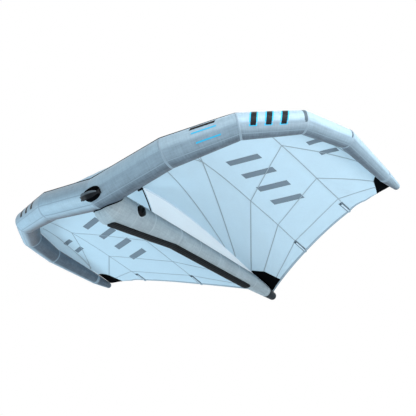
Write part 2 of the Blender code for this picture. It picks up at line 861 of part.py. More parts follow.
valve_cutter = cylinder("valve_cutter", valve_flange_radius + gap,
                        (valve_seat - valve_pocket_depth, valve_aft, valve_height),
                        (valve_seat + overrun, valve_aft, valve_height), sides=48)
make_cutter(valve_cutter, strut_sleeve_front)
make_cutter(valve_cutter, strut_bladder)

cap_foot = flange_top + gap
cap_top = cap_foot + cap_height
valve_cap = turned("valve_cap", (
    (0.0, cap_top), (cap_crown_radius, cap_top), (cap_radius, cap_foot + cap_rim_height),
    (cap_radius, cap_foot), (cap_plug_radius, cap_foot),
    (cap_plug_radius, cap_foot - cap_plug_depth), (0.0, cap_foot - cap_plug_depth)),
    black_plastic, valve_place)
grip_bar = box("cap_bar_adder", (cap_bar_height + cap_height / 2, cap_bar_width,
                                 cap_bar_length),
               (valve_seat + cap_top + cap_bar_height / 2 - cap_height / 4, valve_aft,
                valve_height))
wing.objects.unlink(grip_bar)
cutters.objects.link(grip_bar)
grip_bar.hide_render = True
grip_bar.display_type = "WIRE"
joined_bar = valve_cap.modifiers.new("grip_bar", "BOOLEAN")
joined_bar.operation = "UNION"
joined_bar.solver = "EXACT"
joined_bar.object = grip_bar
for direction in (1, -1):
    notch_height = valve_height + direction * cap_radius
    notch = cylinder("cap_notch_cutter_%d" % (1 + (direction < 0)), cap_notch_radius,
                     (valve_seat + cap_foot - gap, valve_aft, notch_height),
                     (valve_seat + cap_top + overrun, valve_aft, notch_height), sides=16)
    make_cutter(notch, valve_cap)

flap_top = valve_seat - valve_step_depth - gap
flap = cylinder("valve_flap", flap_radius, (flap_top - flap_thickness, valve_aft, valve_height),
                (flap_top, valve_aft, valve_height), sides=28)
flap.data.materials.append(bladder_film)
flap.data.transform(flap.rotation_euler.to_matrix().to_4x4())
flap.rotation_euler = (0.0, 0.0, 0.0)
flap.data.transform(Matrix.Translation((0.0, 0.0, -flap_radius)))
flap.location.z += flap_radius


# Front handle on the leading edge tube

handle_angle = handle_angle_steps * 2 * math.pi / tube_sides
handle_out = np.array([0.0, math.cos(handle_angle), math.sin(handle_angle)])
handle_across = np.array([0.0, -handle_out[2], handle_out[1]])
patch_top = gap + handle_patch_thickness


def handle_base(span):
    """Distance of the patch's face from the middle of the tube, along the handle's line."""
    share = abs(span) / bends[1, 0]
    middle = share * bends[1]
    radius = (1 - share) * bend_radii[0] + share * bend_radii[1]
    return middle @ handle_out + (radius + patch_top) * math.cos(math.pi / tube_sides)


patch_middle = int(handle_angle_steps)
patch_steps = range(patch_middle - 1, patch_middle + handle_patch_steps)
patch_faces = []
patch_corners = []
for extra in (gap, patch_top):
    for bend, patch_side in ((handle_patch_bends, -1), (0.0, 1), (handle_patch_bends, 1)):
        ring = tube_ring(bend, extra)
        ring[:, 0] *= patch_side
        patch_corners += [ring[step] for step in patch_steps]
patch_wide = len(patch_steps)
patch_level = 3 * patch_wide
for column in range(2):
    for row in range(patch_wide - 1):
        a = column * patch_wide + row
        b = a + patch_wide
        for level in (0, patch_level):
            patch_faces.append((level + a, level + b, level + b + 1, level + a + 1))
patch_rim = ([0, patch_wide, 2 * patch_wide]
             + [2 * patch_wide + row for row in range(1, patch_wide)]
             + [2 * patch_wide - 1, patch_wide - 1]
             + [row for row in range(patch_wide - 2, 0, -1)])
for place, corner in enumerate(patch_rim):
    after = patch_rim[(place + 1) % len(patch_rim)]
    patch_faces.append((corner, after, patch_level + after, patch_level + corner))
add_mesh("front_handle_patch", patch_corners, patch_faces, patch_cloth)

section_turns = np.arange(16) * 2 * math.pi / 16
handle_end_base = max(handle_base(handle_side_shift + handle_half_length),
                      handle_base(handle_side_shift - handle_half_length))
axis_distance = handle_end_base + handle_axis_height
arch_distance = handle_base(0.0) + handle_finger_gap + handle_middle_half_thickness


def flat_oval(span, distance, half_width, half_thickness):
    """A flat oval section, upright to the span."""
    sideways = np.cos(section_turns)
    outward = np.sin(section_turns)
    width = half_width * np.sign(sideways) * abs(sideways)**oval_power_share
    depth = half_thickness * np.sign(outward) * abs(outward)**oval_power_share
    return (span * spanward + distance * handle_out + np.outer(width, handle_across)
            + np.outer(depth, handle_out))


handle_rings = []
for share in handle_station_shares:
    fullness = 1 - share**2
    broad = 1 - share**4
    handle_rings.append(flat_oval(
        handle_side_shift + share * handle_half_length,
        axis_distance + fullness * (arch_distance - axis_distance),
        handle_end_half_width + broad * (handle_middle_half_width - handle_end_half_width),
        handle_end_half_thickness
        + fullness * (handle_middle_half_thickness - handle_end_half_thickness)))
front_handle = loft_solid("front_handle_grip", handle_rings, grip_foam)
set_origin(front_handle, handle_side_shift * spanward + axis_distance * handle_out)

for side, side_name in side_names.items():
    near_span = handle_side_shift + side * (handle_half_length + gap)
    far_span = near_span + side * anchor_length
    foot_distance = handle_base(far_span) + 2 * gap + anchor_foot_half_thickness
    loft_solid("front_handle_anchor_" + side_name,
               [flat_oval(near_span, axis_distance, handle_end_half_width,
                          handle_end_half_thickness),
                flat_oval(far_span, foot_distance, anchor_foot_half_width,
                          anchor_foot_half_thickness)], patch_cloth)


# Move the wing so that the middle of its underside is the origin

bpy.context.view_layer.update()
graph = bpy.context.evaluated_depsgraph_get()
reach = []
for piece in wing.objects:
    shown = piece.evaluated_get(graph)
    shape = shown.to_mesh()
    places = np.zeros(len(shape.vertices) * 3)
    shape.vertices.foreach_get("co", places)
    turn = np.array(shown.matrix_world)
    reach.append(places.reshape(-1, 3) @ turn[:3, :3].T + turn[:3, 3])
    shown.to_mesh_clear()
reach = np.concatenate(reach)
low = reach.min(axis=0)
high = reach.max(axis=0)
to_origin = Vector((0.0, -(low[1] + high[1]) / 2, -low[2]))
for piece in (*wing.objects, *cutters.objects):
    piece.location += to_origin
bpy.context.view_layer.update()
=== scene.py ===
"""Looks of an inflatable wingfoil wing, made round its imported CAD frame.

Everything is in metres in the frame of the CAD: X along the span, Y aft and Z up.
"""
import math

import bpy
import numpy as np
from mathutils import Matrix, Vector


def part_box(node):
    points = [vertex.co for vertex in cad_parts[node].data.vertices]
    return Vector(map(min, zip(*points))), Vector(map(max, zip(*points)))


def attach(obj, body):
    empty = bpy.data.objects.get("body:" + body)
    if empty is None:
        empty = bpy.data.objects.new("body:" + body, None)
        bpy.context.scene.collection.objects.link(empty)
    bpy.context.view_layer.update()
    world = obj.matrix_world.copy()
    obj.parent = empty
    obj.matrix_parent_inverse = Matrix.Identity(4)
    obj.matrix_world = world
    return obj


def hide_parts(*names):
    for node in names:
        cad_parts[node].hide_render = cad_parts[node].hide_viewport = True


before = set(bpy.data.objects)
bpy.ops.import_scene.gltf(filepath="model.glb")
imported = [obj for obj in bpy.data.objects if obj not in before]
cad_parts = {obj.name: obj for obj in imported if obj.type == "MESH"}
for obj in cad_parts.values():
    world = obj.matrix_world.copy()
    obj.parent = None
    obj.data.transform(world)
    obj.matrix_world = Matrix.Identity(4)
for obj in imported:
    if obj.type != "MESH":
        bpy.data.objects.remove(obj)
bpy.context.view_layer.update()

scene = bpy.context.scene


# Camera and light. The wing is held level in the air and is seen from below, ahead of its
# right tip. The floor lies under the camera, and the pale backdrop is the world itself.

picture_width = 416
focal_pixels = 720
sensor_width = 36.0
view_point = (3.742, -4.318, -2.962)
view_right = (0.7871, 0.6151, 0.0456)
view_down = (-0.3034, 0.4505, -0.8397)
view_forward = (-0.5371, 0.6471, 0.5412)

camera_data = bpy.data.cameras.new("picture_camera")
camera_data.sensor_width = sensor_width
camera_data.lens = sensor_width * focal_pixels / picture_width
camera = bpy.data.objects.new("picture_camera", camera_data)
scene.collection.objects.link(camera)
view_turn = Matrix((view_right, -Vector(view_down), -Vector(view_forward))).transposed()
camera.matrix_world = Matrix.LocRotScale(Vector(view_point), view_turn.to_quaternion(), None)
scene.camera = camera
scene.view_settings.view_transform = "Standard"

floor_drop = 5.0
floor_width = 24.0
floor_mesh = bpy.data.meshes.new("studio_floor")
floor_half = floor_width / 2
floor_mesh.from_pydata([(x, y, -floor_drop) for x, y in ((-floor_half, -floor_half),
                                                         (floor_half, -floor_half),
                                                         (floor_half, floor_half),
                                                         (-floor_half, floor_half))],
                       [], [(0, 1, 2, 3)])
studio_floor = bpy.data.objects.new("studio_floor", floor_mesh)
scene.collection.objects.link(studio_floor)
floor_paint = bpy.data.materials.new("studio_floor_paint")
floor_paint.use_nodes = True
floor_shader = floor_paint.node_tree.nodes["Principled BSDF"]
floor_shader.inputs["Base Color"].default_value = (0.86, 0.87, 0.88, 1.0)
floor_shader.inputs["Roughness"].default_value = 0.9
floor_nodes = floor_paint.node_tree.nodes
floor_links = floor_paint.node_tree.links
floor_place = floor_nodes.new("ShaderNodeTexCoord")
from_centre = floor_nodes.new("ShaderNodeVectorMath")
from_centre.operation = "DISTANCE"
from_centre.inputs[1].default_value = (0.0, 0.0, -floor_drop)
floor_fade = floor_nodes.new("ShaderNodeMapRange")
floor_fade.interpolation_type = "SMOOTHERSTEP"
floor_fade.inputs["From Min"].default_value = 3.0
floor_fade.inputs["From Max"].default_value = 10.5
floor_fade.inputs["To Min"].default_value = 1.0
floor_fade.inputs["To Max"].default_value = 0.0
floor_links.new(floor_place.outputs["Object"], from_centre.inputs[0])
floor_links.new(from_centre.outputs["Value"], floor_fade.inputs["Value"])
floor_links.new(floor_fade.outputs["Result"], floor_shader.inputs["Alpha"])
floor_mesh.materials.append(floor_paint)

studio = bpy.data.worlds.new("white_studio")
studio.use_nodes = True
scene.world = studio
world_nodes = studio.node_tree.nodes
world_links = studio.node_tree.links
world_nodes.clear()
soft_light = world_nodes.new("ShaderNodeBackground")
soft_light.inputs["Color"].default_value = (0.96, 0.98, 1.0, 1.0)
soft_light.inputs["Strength"].default_value = 0.24
white_backdrop = world_nodes.new("ShaderNodeBackground")
white_backdrop.inputs["Color"].default_value = (1.0, 1.0, 1.0, 1.0)
ray_kind = world_nodes.new("ShaderNodeLightPath")
seen_ray = world_nodes.new("ShaderNodeMath")
seen_ray.operation = "MAXIMUM"
mirror_ray = world_nodes.new("ShaderNodeMath")
mirror_ray.operation = "MAXIMUM"
pick_world = world_nodes.new("ShaderNodeMixShader")
world_out = world_nodes.new("ShaderNodeOutputWorld")
world_links.new(ray_kind.outputs["Is Camera Ray"], seen_ray.inputs[0])
world_links.new(ray_kind.outputs["Is Transmission Ray"], seen_ray.inputs[1])
world_links.new(seen_ray.outputs[0], mirror_ray.inputs[0])
world_links.new(ray_kind.outputs["Is Glossy Ray"], mirror_ray.inputs[1])
world_links.new(mirror_ray.outputs[0], pick_world.inputs["Fac"])
world_links.new(soft_light.outputs[0], pick_world.inputs[1])
world_links.new(white_backdrop.outputs[0], pick_world.inputs[2])
world_links.new(pick_world.outputs[0], world_out.inputs["Surface"])

lamps = (("lamp_right", (6.2, -1.8, 3.4), 3.5, 660.0, (1.0, 1.0, 1.0)),
         ("lamp_low_right", (5.8, -0.6, -2.4), 2.5, 265.0, (1.0, 1.0, 1.0)),
         ("lamp_front", (2.5, -6.5, 3.2), 3.0, 215.0, (1.0, 1.0, 1.0)),
         ("lamp_left", (-5.2, -3.8, -3.0), 2.5, 400.0, (0.72, 0.90, 1.0)),
         ("lamp_above", (-1.0, 2.0, 6.5), 4.0, 80.0, (1.0, 1.0, 1.0)))
for lamp_name, place, width, power, tint in lamps:
    lamp_data = bpy.data.lights.new(lamp_name, "AREA")
    lamp_data.color = tint
    lamp_data.size = width
    lamp_data.energy = power
    lamp = bpy.data.objects.new(lamp_name, lamp_data)
    lamp.location = place
    lamp.rotation_euler = (-Vector(place)).to_track_quat("-Z", "Y").to_euler()
    scene.collection.objects.link(lamp)


# Sleeve of the leading edge. Six woven panels a side are sewn end to end and held round by
# the bladder inside, so the cloth dips at each seam and puckers on the inside of each bend.

tube_radius = 0.133
tube_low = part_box("leading_edge_panel_1_right")[0]
tube_middle = np.array([0.0, tube_low[1] + tube_radius, tube_low[2] + tube_radius])
half_span = 1.740
sweep_depth = 1.799
tip_rise = 0.424
bend_points = tube_middle + np.column_stack([
    half_span * np.array([0.0, 0.379, 0.697, 0.902, 0.987, 0.996, 1.0]),
    sweep_depth * np.array([0.0, 0.029, 0.122, 0.310, 0.536, 0.890, 1.0]),
    tip_rise * np.array([0.0, 0.361, 0.634, 0.875, 0.965, 0.974, 1.0])])
bend_radii = tube_radius * np.array([1.0, 0.953, 0.795, 0.694, 0.589, 0.401, 0.241])
last_bend = len(bend_points) - 1
side_names = {1: "right", -1: "left"}


def unit(vectors):
    """Vectors brought to length one."""
    return vectors / np.linalg.norm(vectors, axis=-1, keepdims=True)


panel_runs = np.diff(bend_points, axis=0)
panel_lengths = np.linalg.norm(panel_runs, axis=1)
panel_ways = unit(panel_runs)
bend_ways = unit(np.vstack([[1.0, 0.0, 0.0], panel_ways[:-1] + panel_ways[1:],
                            panel_ways[-1]]))
bend_ups = np.array([0.0, 0.0, 1.0]) - bend_ways[:, 2:] * bend_ways
bend_ups = unit(bend_ups)
bend_afts = np.cross(bend_ups, bend_ways)
bend_hollows = np.zeros((last_bend + 1, 3))
bend_hollows[1:-1] = unit(panel_ways[1:] - panel_ways[:-1])
bend_hollows[0] = (0.0, 0.9, 0.4)


def sleeve_point(bend, angle, extra=0.0):
    """A straight run between the round sections at two bends. Angle 0 is aft, a quarter
    turn is up, and a negative bend is on the left side."""
    bend, angle, extra = np.broadcast_arrays(bend, angle, extra)
    near = np.clip(np.abs(bend).astype(int), 0, last_bend - 1)
    share = (np.abs(bend) - near)[..., None]
    place = np.zeros(bend.shape + (3,))
    for number, weight in ((near, 1 - share), (near + 1, share)):
        reach = (bend_radii[number] + extra)[..., None]
        place += weight * (bend_points[number] + reach * (
            np.cos(angle)[..., None] * bend_afts[number]
            + np.sin(angle)[..., None] * bend_ups[number]))
    place[..., 0] *= np.where(bend < 0, -1, 1)
    return place


def grid_faces(rows, columns, rows_meet=False, columns_meet=False, first=0):
    """Four-sided faces between the points of a grid, one row after another."""
    row = np.arange(rows if rows_meet else rows - 1)[:, None]
    column = np.arange(columns if columns_meet else columns - 1)[None, :]
    next_row = (row + 1) % rows
    next_column = (column + 1) % columns
    faces = np.stack([row * columns + column, row * columns + next_column,
                      next_row * columns + next_column, next_row * columns + column], axis=-1)
    return first + faces.reshape(-1, 4)


def volume_sign(points, faces):
    """The sign of the volume that faces close in, which is negative inside out."""
    a, b, c, d = (points[faces[:, number]] for number in range(4))
    return np.sign(np.sum(a * np.cross(b, c)) + np.sum(a * np.cross(c, d)))


def make_piece(name, points, faces, material, node_names=(), uv=None, body="wing",
               painted_light_and_shade=None):
    """A smooth closed piece from corners and four-sided faces, riding on a body. The optional
    number at each corner is painted light and shade, which its material reads and adds to its
    colour."""
    points = np.asarray(points, dtype=float).reshape(-1, 3)
    faces = np.asarray(faces)
    if volume_sign(points, faces) < 0:
        faces = faces[:, ::-1]
    mesh = bpy.data.meshes.new(name)
    mesh.vertices.add(len(points))
    mesh.vertices.foreach_set("co", points.ravel())
    mesh.loops.add(faces.size)
    mesh.loops.foreach_set("vertex_index", faces.ravel())
    mesh.polygons.add(len(faces))
    mesh.polygons.foreach_set("loop_start", np.arange(len(faces)) * 4)
    mesh.update(calc_edges=True)
    if uv is not None:
        layer = mesh.uv_layers.new(name="cloth_metres")
        layer.data.foreach_set("uv", np.asarray(uv).reshape(-1, 2)[faces.ravel()].ravel())
    if painted_light_and_shade is not None:
        layer = mesh.attributes.new("painted_light_and_shade", "FLOAT", "POINT")
        layer.data.foreach_set("value", np.asarray(painted_light_and_shade, dtype=float).ravel())
    mesh.materials.append(material)
    mesh.shade_smooth()
    mesh.set_sharp_from_angle(angle=math.radians(40))
    made = bpy.data.objects.new(name, mesh)
    scene.collection.objects.link(made)
    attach(made, body)
    if node_names:
        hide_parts(*node_names)
    return made


def new_material(name, colour, roughness, metallic=0.0):
    """A material with one Principled shader, and its nodes and links to add to."""
    material = bpy.data.materials.new(name)
    material.use_nodes = True
    nodes = material.node_tree.nodes
    shader = nodes["Principled BSDF"]
    shader.inputs["Base Color"].default_value = (*colour, 1.0)
    shader.inputs["Roughness"].default_value = roughness
    shader.inputs["Metallic"].default_value = metallic
    return material, nodes, material.node_tree.links, shader


def add_node(tree, kind, **settings):
    """A shader node with its settings and socket values."""
    node = tree.nodes.new(kind)
    for key, value in settings.items():
        if key in node.inputs:
            node.inputs[key].default_value = value
        else:
            setattr(node, key, value)
    return node


# Cloth effect: threads both ways, long soft streaks and mottling, in metres of cloth
cloth_group = bpy.data.node_groups.new("woven_cloth", "ShaderNodeTree")
for socket, kind in (("Place", "NodeSocketVector"), ("Colour", "NodeSocketColor"),
                     ("Streak Length", "NodeSocketFloat"), ("Contrast", "NodeSocketFloat"),
                     ("Thread", "NodeSocketFloat")):
    cloth_group.interface.new_socket(socket, in_out="INPUT", socket_type=kind)
for socket, kind in (("Colour", "NodeSocketColor"), ("Height", "NodeSocketFloat"),
                     ("Roughness", "NodeSocketFloat")):
    cloth_group.interface.new_socket(socket, in_out="OUTPUT", socket_type=kind)
cloth_in = add_node(cloth_group, "NodeGroupInput")
cloth_out = add_node(cloth_group, "NodeGroupOutput")
join_cloth = cloth_group.links.new
threads = []
for direction in ("X", "Y"):
    wave = add_node(cloth_group, "ShaderNodeTexWave", wave_type="BANDS",
                    bands_direction=direction)
    wave.inputs["Distortion"].default_value = 0.6
    wave.inputs["Detail"].default_value = 1.0
    join_cloth(cloth_in.outputs["Place"], wave.inputs["Vector"])
    join_cloth(cloth_in.outputs["Thread"], wave.inputs["Scale"])
    threads.append(wave)
weave = add_node(cloth_group, "ShaderNodeMath", operation="MULTIPLY")
join_cloth(threads[0].outputs["Fac"], weave.inputs[0])
join_cloth(threads[1].outputs["Fac"], weave.inputs[1])
streak_sum = None
for long_axis in (0, 1):
    stretch = add_node(cloth_group, "ShaderNodeCombineXYZ")
    stretch.inputs[1 - long_axis].default_value = 75.0
    join_cloth(cloth_in.outputs["Streak Length"], stretch.inputs[long_axis])
    scaled = add_node(cloth_group, "ShaderNodeVectorMath", operation="MULTIPLY")
    join_cloth(cloth_in.outputs["Place"], scaled.inputs[0])
    join_cloth(stretch.outputs[0], scaled.inputs[1])
    streak = add_node(cloth_group, "ShaderNodeTexNoise", Scale=1.0, Detail=4.0,
                      Roughness=0.65)
    join_cloth(scaled.outputs[0], streak.inputs["Vector"])
    if streak_sum is None:
        streak_sum = streak.outputs["Fac"]
    else:
        both = add_node(cloth_group, "ShaderNodeMath", operation="ADD")
        join_cloth(streak_sum, both.inputs[0])
        join_cloth(streak.outputs["Fac"], both.inputs[1])
        streak_sum = both.outputs[0]
mottle = add_node(cloth_group, "ShaderNodeTexNoise", Scale=7.0, Detail=5.0, Roughness=0.6)
join_cloth(cloth_in.outputs["Place"], mottle.inputs["Vector"])
shade_sum = add_node(cloth_group, "ShaderNodeMath", operation="ADD")
join_cloth(streak_sum, shade_sum.inputs[0])
join_cloth(mottle.outputs["Fac"], shade_sum.inputs[1])
centred = add_node(cloth_group, "ShaderNodeMath", operation="SUBTRACT")
centred.inputs[1].default_value = 1.5
join_cloth(shade_sum.outputs[0], centred.inputs[0])
strength = add_node(cloth_group, "ShaderNodeMath", operation="MULTIPLY")
join_cloth(centred.outputs[0], strength.inputs[0])
join_cloth(cloth_in.outputs["Contrast"], strength.inputs[1])
factor = add_node(cloth_group, "ShaderNodeMath", operation="ADD")
factor.inputs[1].default_value = 1.0
join_cloth(strength.outputs[0], factor.inputs[0])
tinted = add_node(cloth_group, "ShaderNodeVectorMath", operation="SCALE")
join_cloth(cloth_in.outputs["Colour"], tinted.inputs[0])
join_cloth(factor.outputs[0], tinted.inputs["Scale"])
join_cloth(tinted.outputs[0], cloth_out.inputs["Colour"])
join_cloth(weave.outputs[0], cloth_out.inputs["Height"])
rough_range = add_node(cloth_group, "ShaderNodeMapRange")
rough_range.inputs["To Min"].default_value = 0.34
rough_range.inputs["To Max"].default_value = 0.56
join_cloth(mottle.outputs["Fac"], rough_range.inputs["Value"])
join_cloth(rough_range.outputs[0], cloth_out.inputs["Roughness"])


# Stitch effect: two dashed rows, each at one distance to either side of a seam's middle
stitch_group = bpy.data.node_groups.new("stitch_rows", "ShaderNodeTree")
for socket, kind in (("Place", "NodeSocketVector"), ("Row Distance", "NodeSocketFloat"),
                     ("Thread Width", "NodeSocketFloat"), ("Pitch", "NodeSocketFloat")):
    stitch_group.interface.new_socket(socket, in_out="INPUT", socket_type=kind)
stitch_group.interface.new_socket("Mask", in_out="OUTPUT", socket_type="NodeSocketFloat")
stitch_in = add_node(stitch_group, "NodeGroupInput")
stitch_out = add_node(stitch_group, "NodeGroupOutput")
join_stitch = stitch_group.links.new
axes = add_node(stitch_group, "ShaderNodeSeparateXYZ")
join_stitch(stitch_in.outputs["Place"], axes.inputs[0])
from_middle = add_node(stitch_group, "ShaderNodeMath", operation="ABSOLUTE")
join_stitch(axes.outputs["Y"], from_middle.inputs[0])
in_row = add_node(stitch_group, "ShaderNodeMath", operation="COMPARE")
join_stitch(from_middle.outputs[0], in_row.inputs[0])
join_stitch(stitch_in.outputs["Row Distance"], in_row.inputs[1])
join_stitch(stitch_in.outputs["Thread Width"], in_row.inputs[2])
in_dash = add_node(stitch_group, "ShaderNodeMath", operation="WRAP")
in_dash.inputs[1].default_value = 0.0
join_stitch(axes.outputs["X"], in_dash.inputs[0])
join_stitch(stitch_in.outputs["Pitch"], in_dash.inputs[2])
dash_share = add_node(stitch_group, "ShaderNodeMath", operation="DIVIDE")
join_stitch(in_dash.outputs[0], dash_share.inputs[0])
join_stitch(stitch_in.outputs["Pitch"], dash_share.inputs[1])
dash_on = add_node(stitch_group, "ShaderNodeMath", operation="LESS_THAN")
dash_on.inputs[1].default_value = 0.72
join_stitch(dash_share.outputs[0], dash_on.inputs[0])
stitched = add_node(stitch_group, "ShaderNodeMath", operation="MULTIPLY")
join_stitch(in_row.outputs[0], stitched.inputs[0])
join_stitch(dash_on.outputs[0], stitched.inputs[1])
join_stitch(stitched.outputs[0], stitch_out.inputs["Mask"])


def shifted_colour(tree, mask, change, colour):
    """A colour with a change added to it in the share that a mask gives."""
    shift = add_node(tree, "ShaderNodeVectorMath", operation="MULTIPLY_ADD")
    shift.inputs[1].default_value = change
    tree.links.new(mask, shift.inputs[0])
    tree.links.new(colour, shift.inputs[2])
    return shift.outputs[0]


def cloth_material(name, colour, streak_length=9.0, contrast=0.35, thread=380.0,
                   bump=0.25, use_uv=True, sheen=0.0, transmission=0.0, specular=0.5,
                   painted_light_change=None, stitch_rows=None, stitch_change=None, matt=None):
    """A woven cloth in one colour, laid along its own cloth metres or Object coordinates. Where a
    change is given, it adds painted light and shade by the number at each corner.
    """
    material, nodes, links, shader = new_material(name, colour, 0.45)
    shader.inputs["Specular IOR Level"].default_value = specular
    place = nodes.new("ShaderNodeUVMap" if use_uv else "ShaderNodeTexCoord")
    weaving = add_node(material.node_tree, "ShaderNodeGroup", node_tree=cloth_group)
    weaving.inputs["Colour"].default_value = (*colour, 1.0)
    weaving.inputs["Streak Length"].default_value = streak_length
    weaving.inputs["Contrast"].default_value = contrast
    weaving.inputs["Thread"].default_value = thread
    links.new(place.outputs["UV" if use_uv else "Object"], weaving.inputs["Place"])
    relief = add_node(material.node_tree, "ShaderNodeBump", Strength=bump, Distance=0.0004)
    links.new(weaving.outputs["Height"], relief.inputs["Height"])
    cloth_colour = weaving.outputs["Colour"]
    # Painted light and shade: the number at each corner scales a colour change, so the cloth is
    # painted lighter as a highlight where it is positive and darker as shade where it is negative.
    if painted_light_change:
        painted_light_and_shade = add_node(material.node_tree, "ShaderNodeAttribute", attribute_name="painted_light_and_shade")
        cloth_colour = shifted_colour(material.node_tree, painted_light_and_shade.outputs["Fac"], painted_light_change,
                                      cloth_colour)
    if stitch_rows:
        rows = add_node(material.node_tree, "ShaderNodeGroup", node_tree=stitch_group)
        for socket, value in zip(("Row Distance", "Thread Width", "Pitch"), stitch_rows):
            rows.inputs[socket].default_value = value
        links.new(place.outputs["UV"], rows.inputs["Place"])
        cloth_colour = shifted_colour(material.node_tree, rows.outputs["Mask"], stitch_change,
                                      cloth_colour)
    links.new(cloth_colour, shader.inputs["Base Color"])
    if matt:
        shader.inputs["Roughness"].default_value = matt
    else:
        links.new(weaving.outputs["Roughness"], shader.inputs["Roughness"])
    links.new(relief.outputs["Normal"], shader.inputs["Normal"])
    shader.inputs["Sheen Weight"].default_value = sheen
    shader.inputs["Sheen Roughness"].default_value = 0.4
    if transmission:
        shine_through = add_node(material.node_tree, "ShaderNodeBsdfTranslucent")
        links.new(cloth_colour, shine_through.inputs["Color"])
        links.new(relief.outputs["Normal"], shine_through.inputs["Normal"])
        blend = add_node(material.node_tree, "ShaderNodeMixShader")
        blend.inputs["Fac"].default_value = transmission
        links.new(shader.outputs[0], blend.inputs[1])
        links.new(shine_through.outputs[0], blend.inputs[2])
        links.new(blend.outputs[0], nodes["Material Output"].inputs["Surface"])
    return material


# The sleeve cloth carries painted light and shade: its painted highlight adds the change below,
# and its painted shade takes it away.
sleeve_cloth = cloth_material("blue_grey_sleeve_cloth", (0.175, 0.250, 0.310), contrast=0.5,
                              specular=0.28, painted_light_change=(0.06, 0.085, 0.10))
gore_angle = math.radians(208)
rear_gore_angle = math.radians(251)
sleeve_wall = 0.0015
seam_dip = 0.0010
seam_reach = 0.016
pucker_height = 0.0016
pucker_reach = 0.055
panel_swell = 0.0012
around = 144
sleeve_angles = np.arange(around) * 2 * math.pi / around


def panel_relief(number, share, angle):
    """Height of a panel's cloth: a dip at each end seam, folds that fade from it and are
    deepest on the inside of the bend, and a slight swell between the seams."""
    length = panel_lengths[number]
    height = panel_swell * np.sin(math.pi * share)
    for end, distance in ((number, share * length), (number + 1, (1 - share) * length)):
        height = height - seam_dip * np.exp(-(distance / seam_reach)**2)
        if end == last_bend:
            continue
        radial = (np.cos(angle)[..., None] * bend_afts[end]
                  + np.sin(angle)[..., None] * bend_ups[end])
        inside = (0.5 + 0.5 * radial @ bend_hollows[end])**2
        folds = (np.cos(19 * angle + 2.1 * end) + 0.6 * np.cos(31 * angle + 1.3 * end)
                 + 0.4 * np.cos(11 * angle + 0.7 * end))
        height = height + pucker_height * (0.25 + 0.75 * inside) * folds * (
            np.exp(-distance / pucker_reach) * (1 - np.exp(-distance / seam_reach)))
    return height


# Painted light and shade on the sleeves, by angle round the tube, where 0 is aft and a quarter
# turn is up. On the right, the top and front are painted lighter as a highlight and the bottom and
# rear darker as shade. On the left, the lower front is painted lighter as a highlight, the top and
# front stay near the cloth's own colour, and the bottom and rear are painted darker as shade. The
# tip caps take the same.
sleeve_painted_light = {
    1: np.interp(np.degrees(sleeve_angles), [0, 30, 75, 198, 212, 238, 275, 360],
                 [-1.6, -1.6, 1.0, 1.0, 0.0, 0.0, -1.6, -1.6]),
    -1: np.interp(np.degrees(sleeve_angles), [0, 30, 75, 190, 214, 258, 285, 360],
                  [-1.7, -1.7, 0.2, 0.2, 1.5, 1.5, -1.7, -1.7])}

for side, side_name in side_names.items():
    for number in range(last_bend):
        panel_rows = max(12, int(panel_lengths[number] / 0.011))
        share = np.linspace(0.0, 1.0, panel_rows)[:, None]
        relief = panel_relief(number, share, sleeve_angles[None, :])
        outer = sleeve_point(side * (number + share * 0.999999), sleeve_angles, relief)
        inner = sleeve_point(side * (number + share[::-4] * 0.999999), sleeve_angles,
                             -sleeve_wall - 2 * pucker_height)
        along = panel_lengths[:number].sum() + share * panel_lengths[number]
        turn_length = sleeve_angles * bend_radii[number]
        uv = np.concatenate([np.stack(np.broadcast_arrays(turn_length, rows), axis=-1)
                             for rows in (along, along[::-4])])
        panel_name = "leading_edge_panel_%d_%s" % (number + 1, side_name)
        rings = np.concatenate([outer, inner])
        panel_painted_light = np.broadcast_to(sleeve_painted_light[side], rings.shape[:2])
        make_piece("sleeve_" + panel_name, rings,
                   grid_faces(len(rings), around, True, True), sleeve_cloth, [panel_name],
                   uv, painted_light_and_shade=panel_painted_light)

    dome = np.radians(np.linspace(0, 89, 16))[:, None]
    tip_out = bend_ways[last_bend] * (side, 1, 1)
    flat_ring = sleeve_point(side * last_bend * 0.999999, sleeve_angles)
    tip_centre = bend_points[last_bend] * (side, 1, 1)
    tip_rings = [tip_centre + (flat_ring - tip_centre) * np.cos(dome)[..., None]
                 + bend_radii[last_bend] * np.sin(dome)[..., None] * tip_out]
    tip_rings.append(tip_centre + (tip_rings[0][::-5] - tip_centre) * 0.9)
    rings = np.concatenate(tip_rings)
    tip_uv = np.stack(np.broadcast_arrays(sleeve_angles * bend_radii[last_bend],
                                          np.arange(len(rings))[:, None] * 0.003), axis=-1)
    make_piece("sleeve_tip_cap_" + side_name, rings,
               grid_faces(len(rings), around, True, True), sleeve_cloth,
               ["leading_edge_tip_cap_" + side_name], tip_uv,
               painted_light_and_shade=np.broadcast_to(sleeve_painted_light[side], rings.shape[:2]))


# Seams of the leading edge. Each ring seam is a flat felled band with two rows of stitches,
# each panel has a finer ring seam halfway and one seam along its rear lower side.

seam_tape = cloth_material("sleeve_seam_tape", (0.19, 0.268, 0.332), streak_length=20.0,
                           contrast=0.2, specular=0.3, stitch_rows=(0.0045, 0.0010, 0.009),
                           stitch_change=(0.07, 0.08, 0.09))
band_half_width = 0.009
fine_band_half_width = 0.0065
band_height = 0.0008


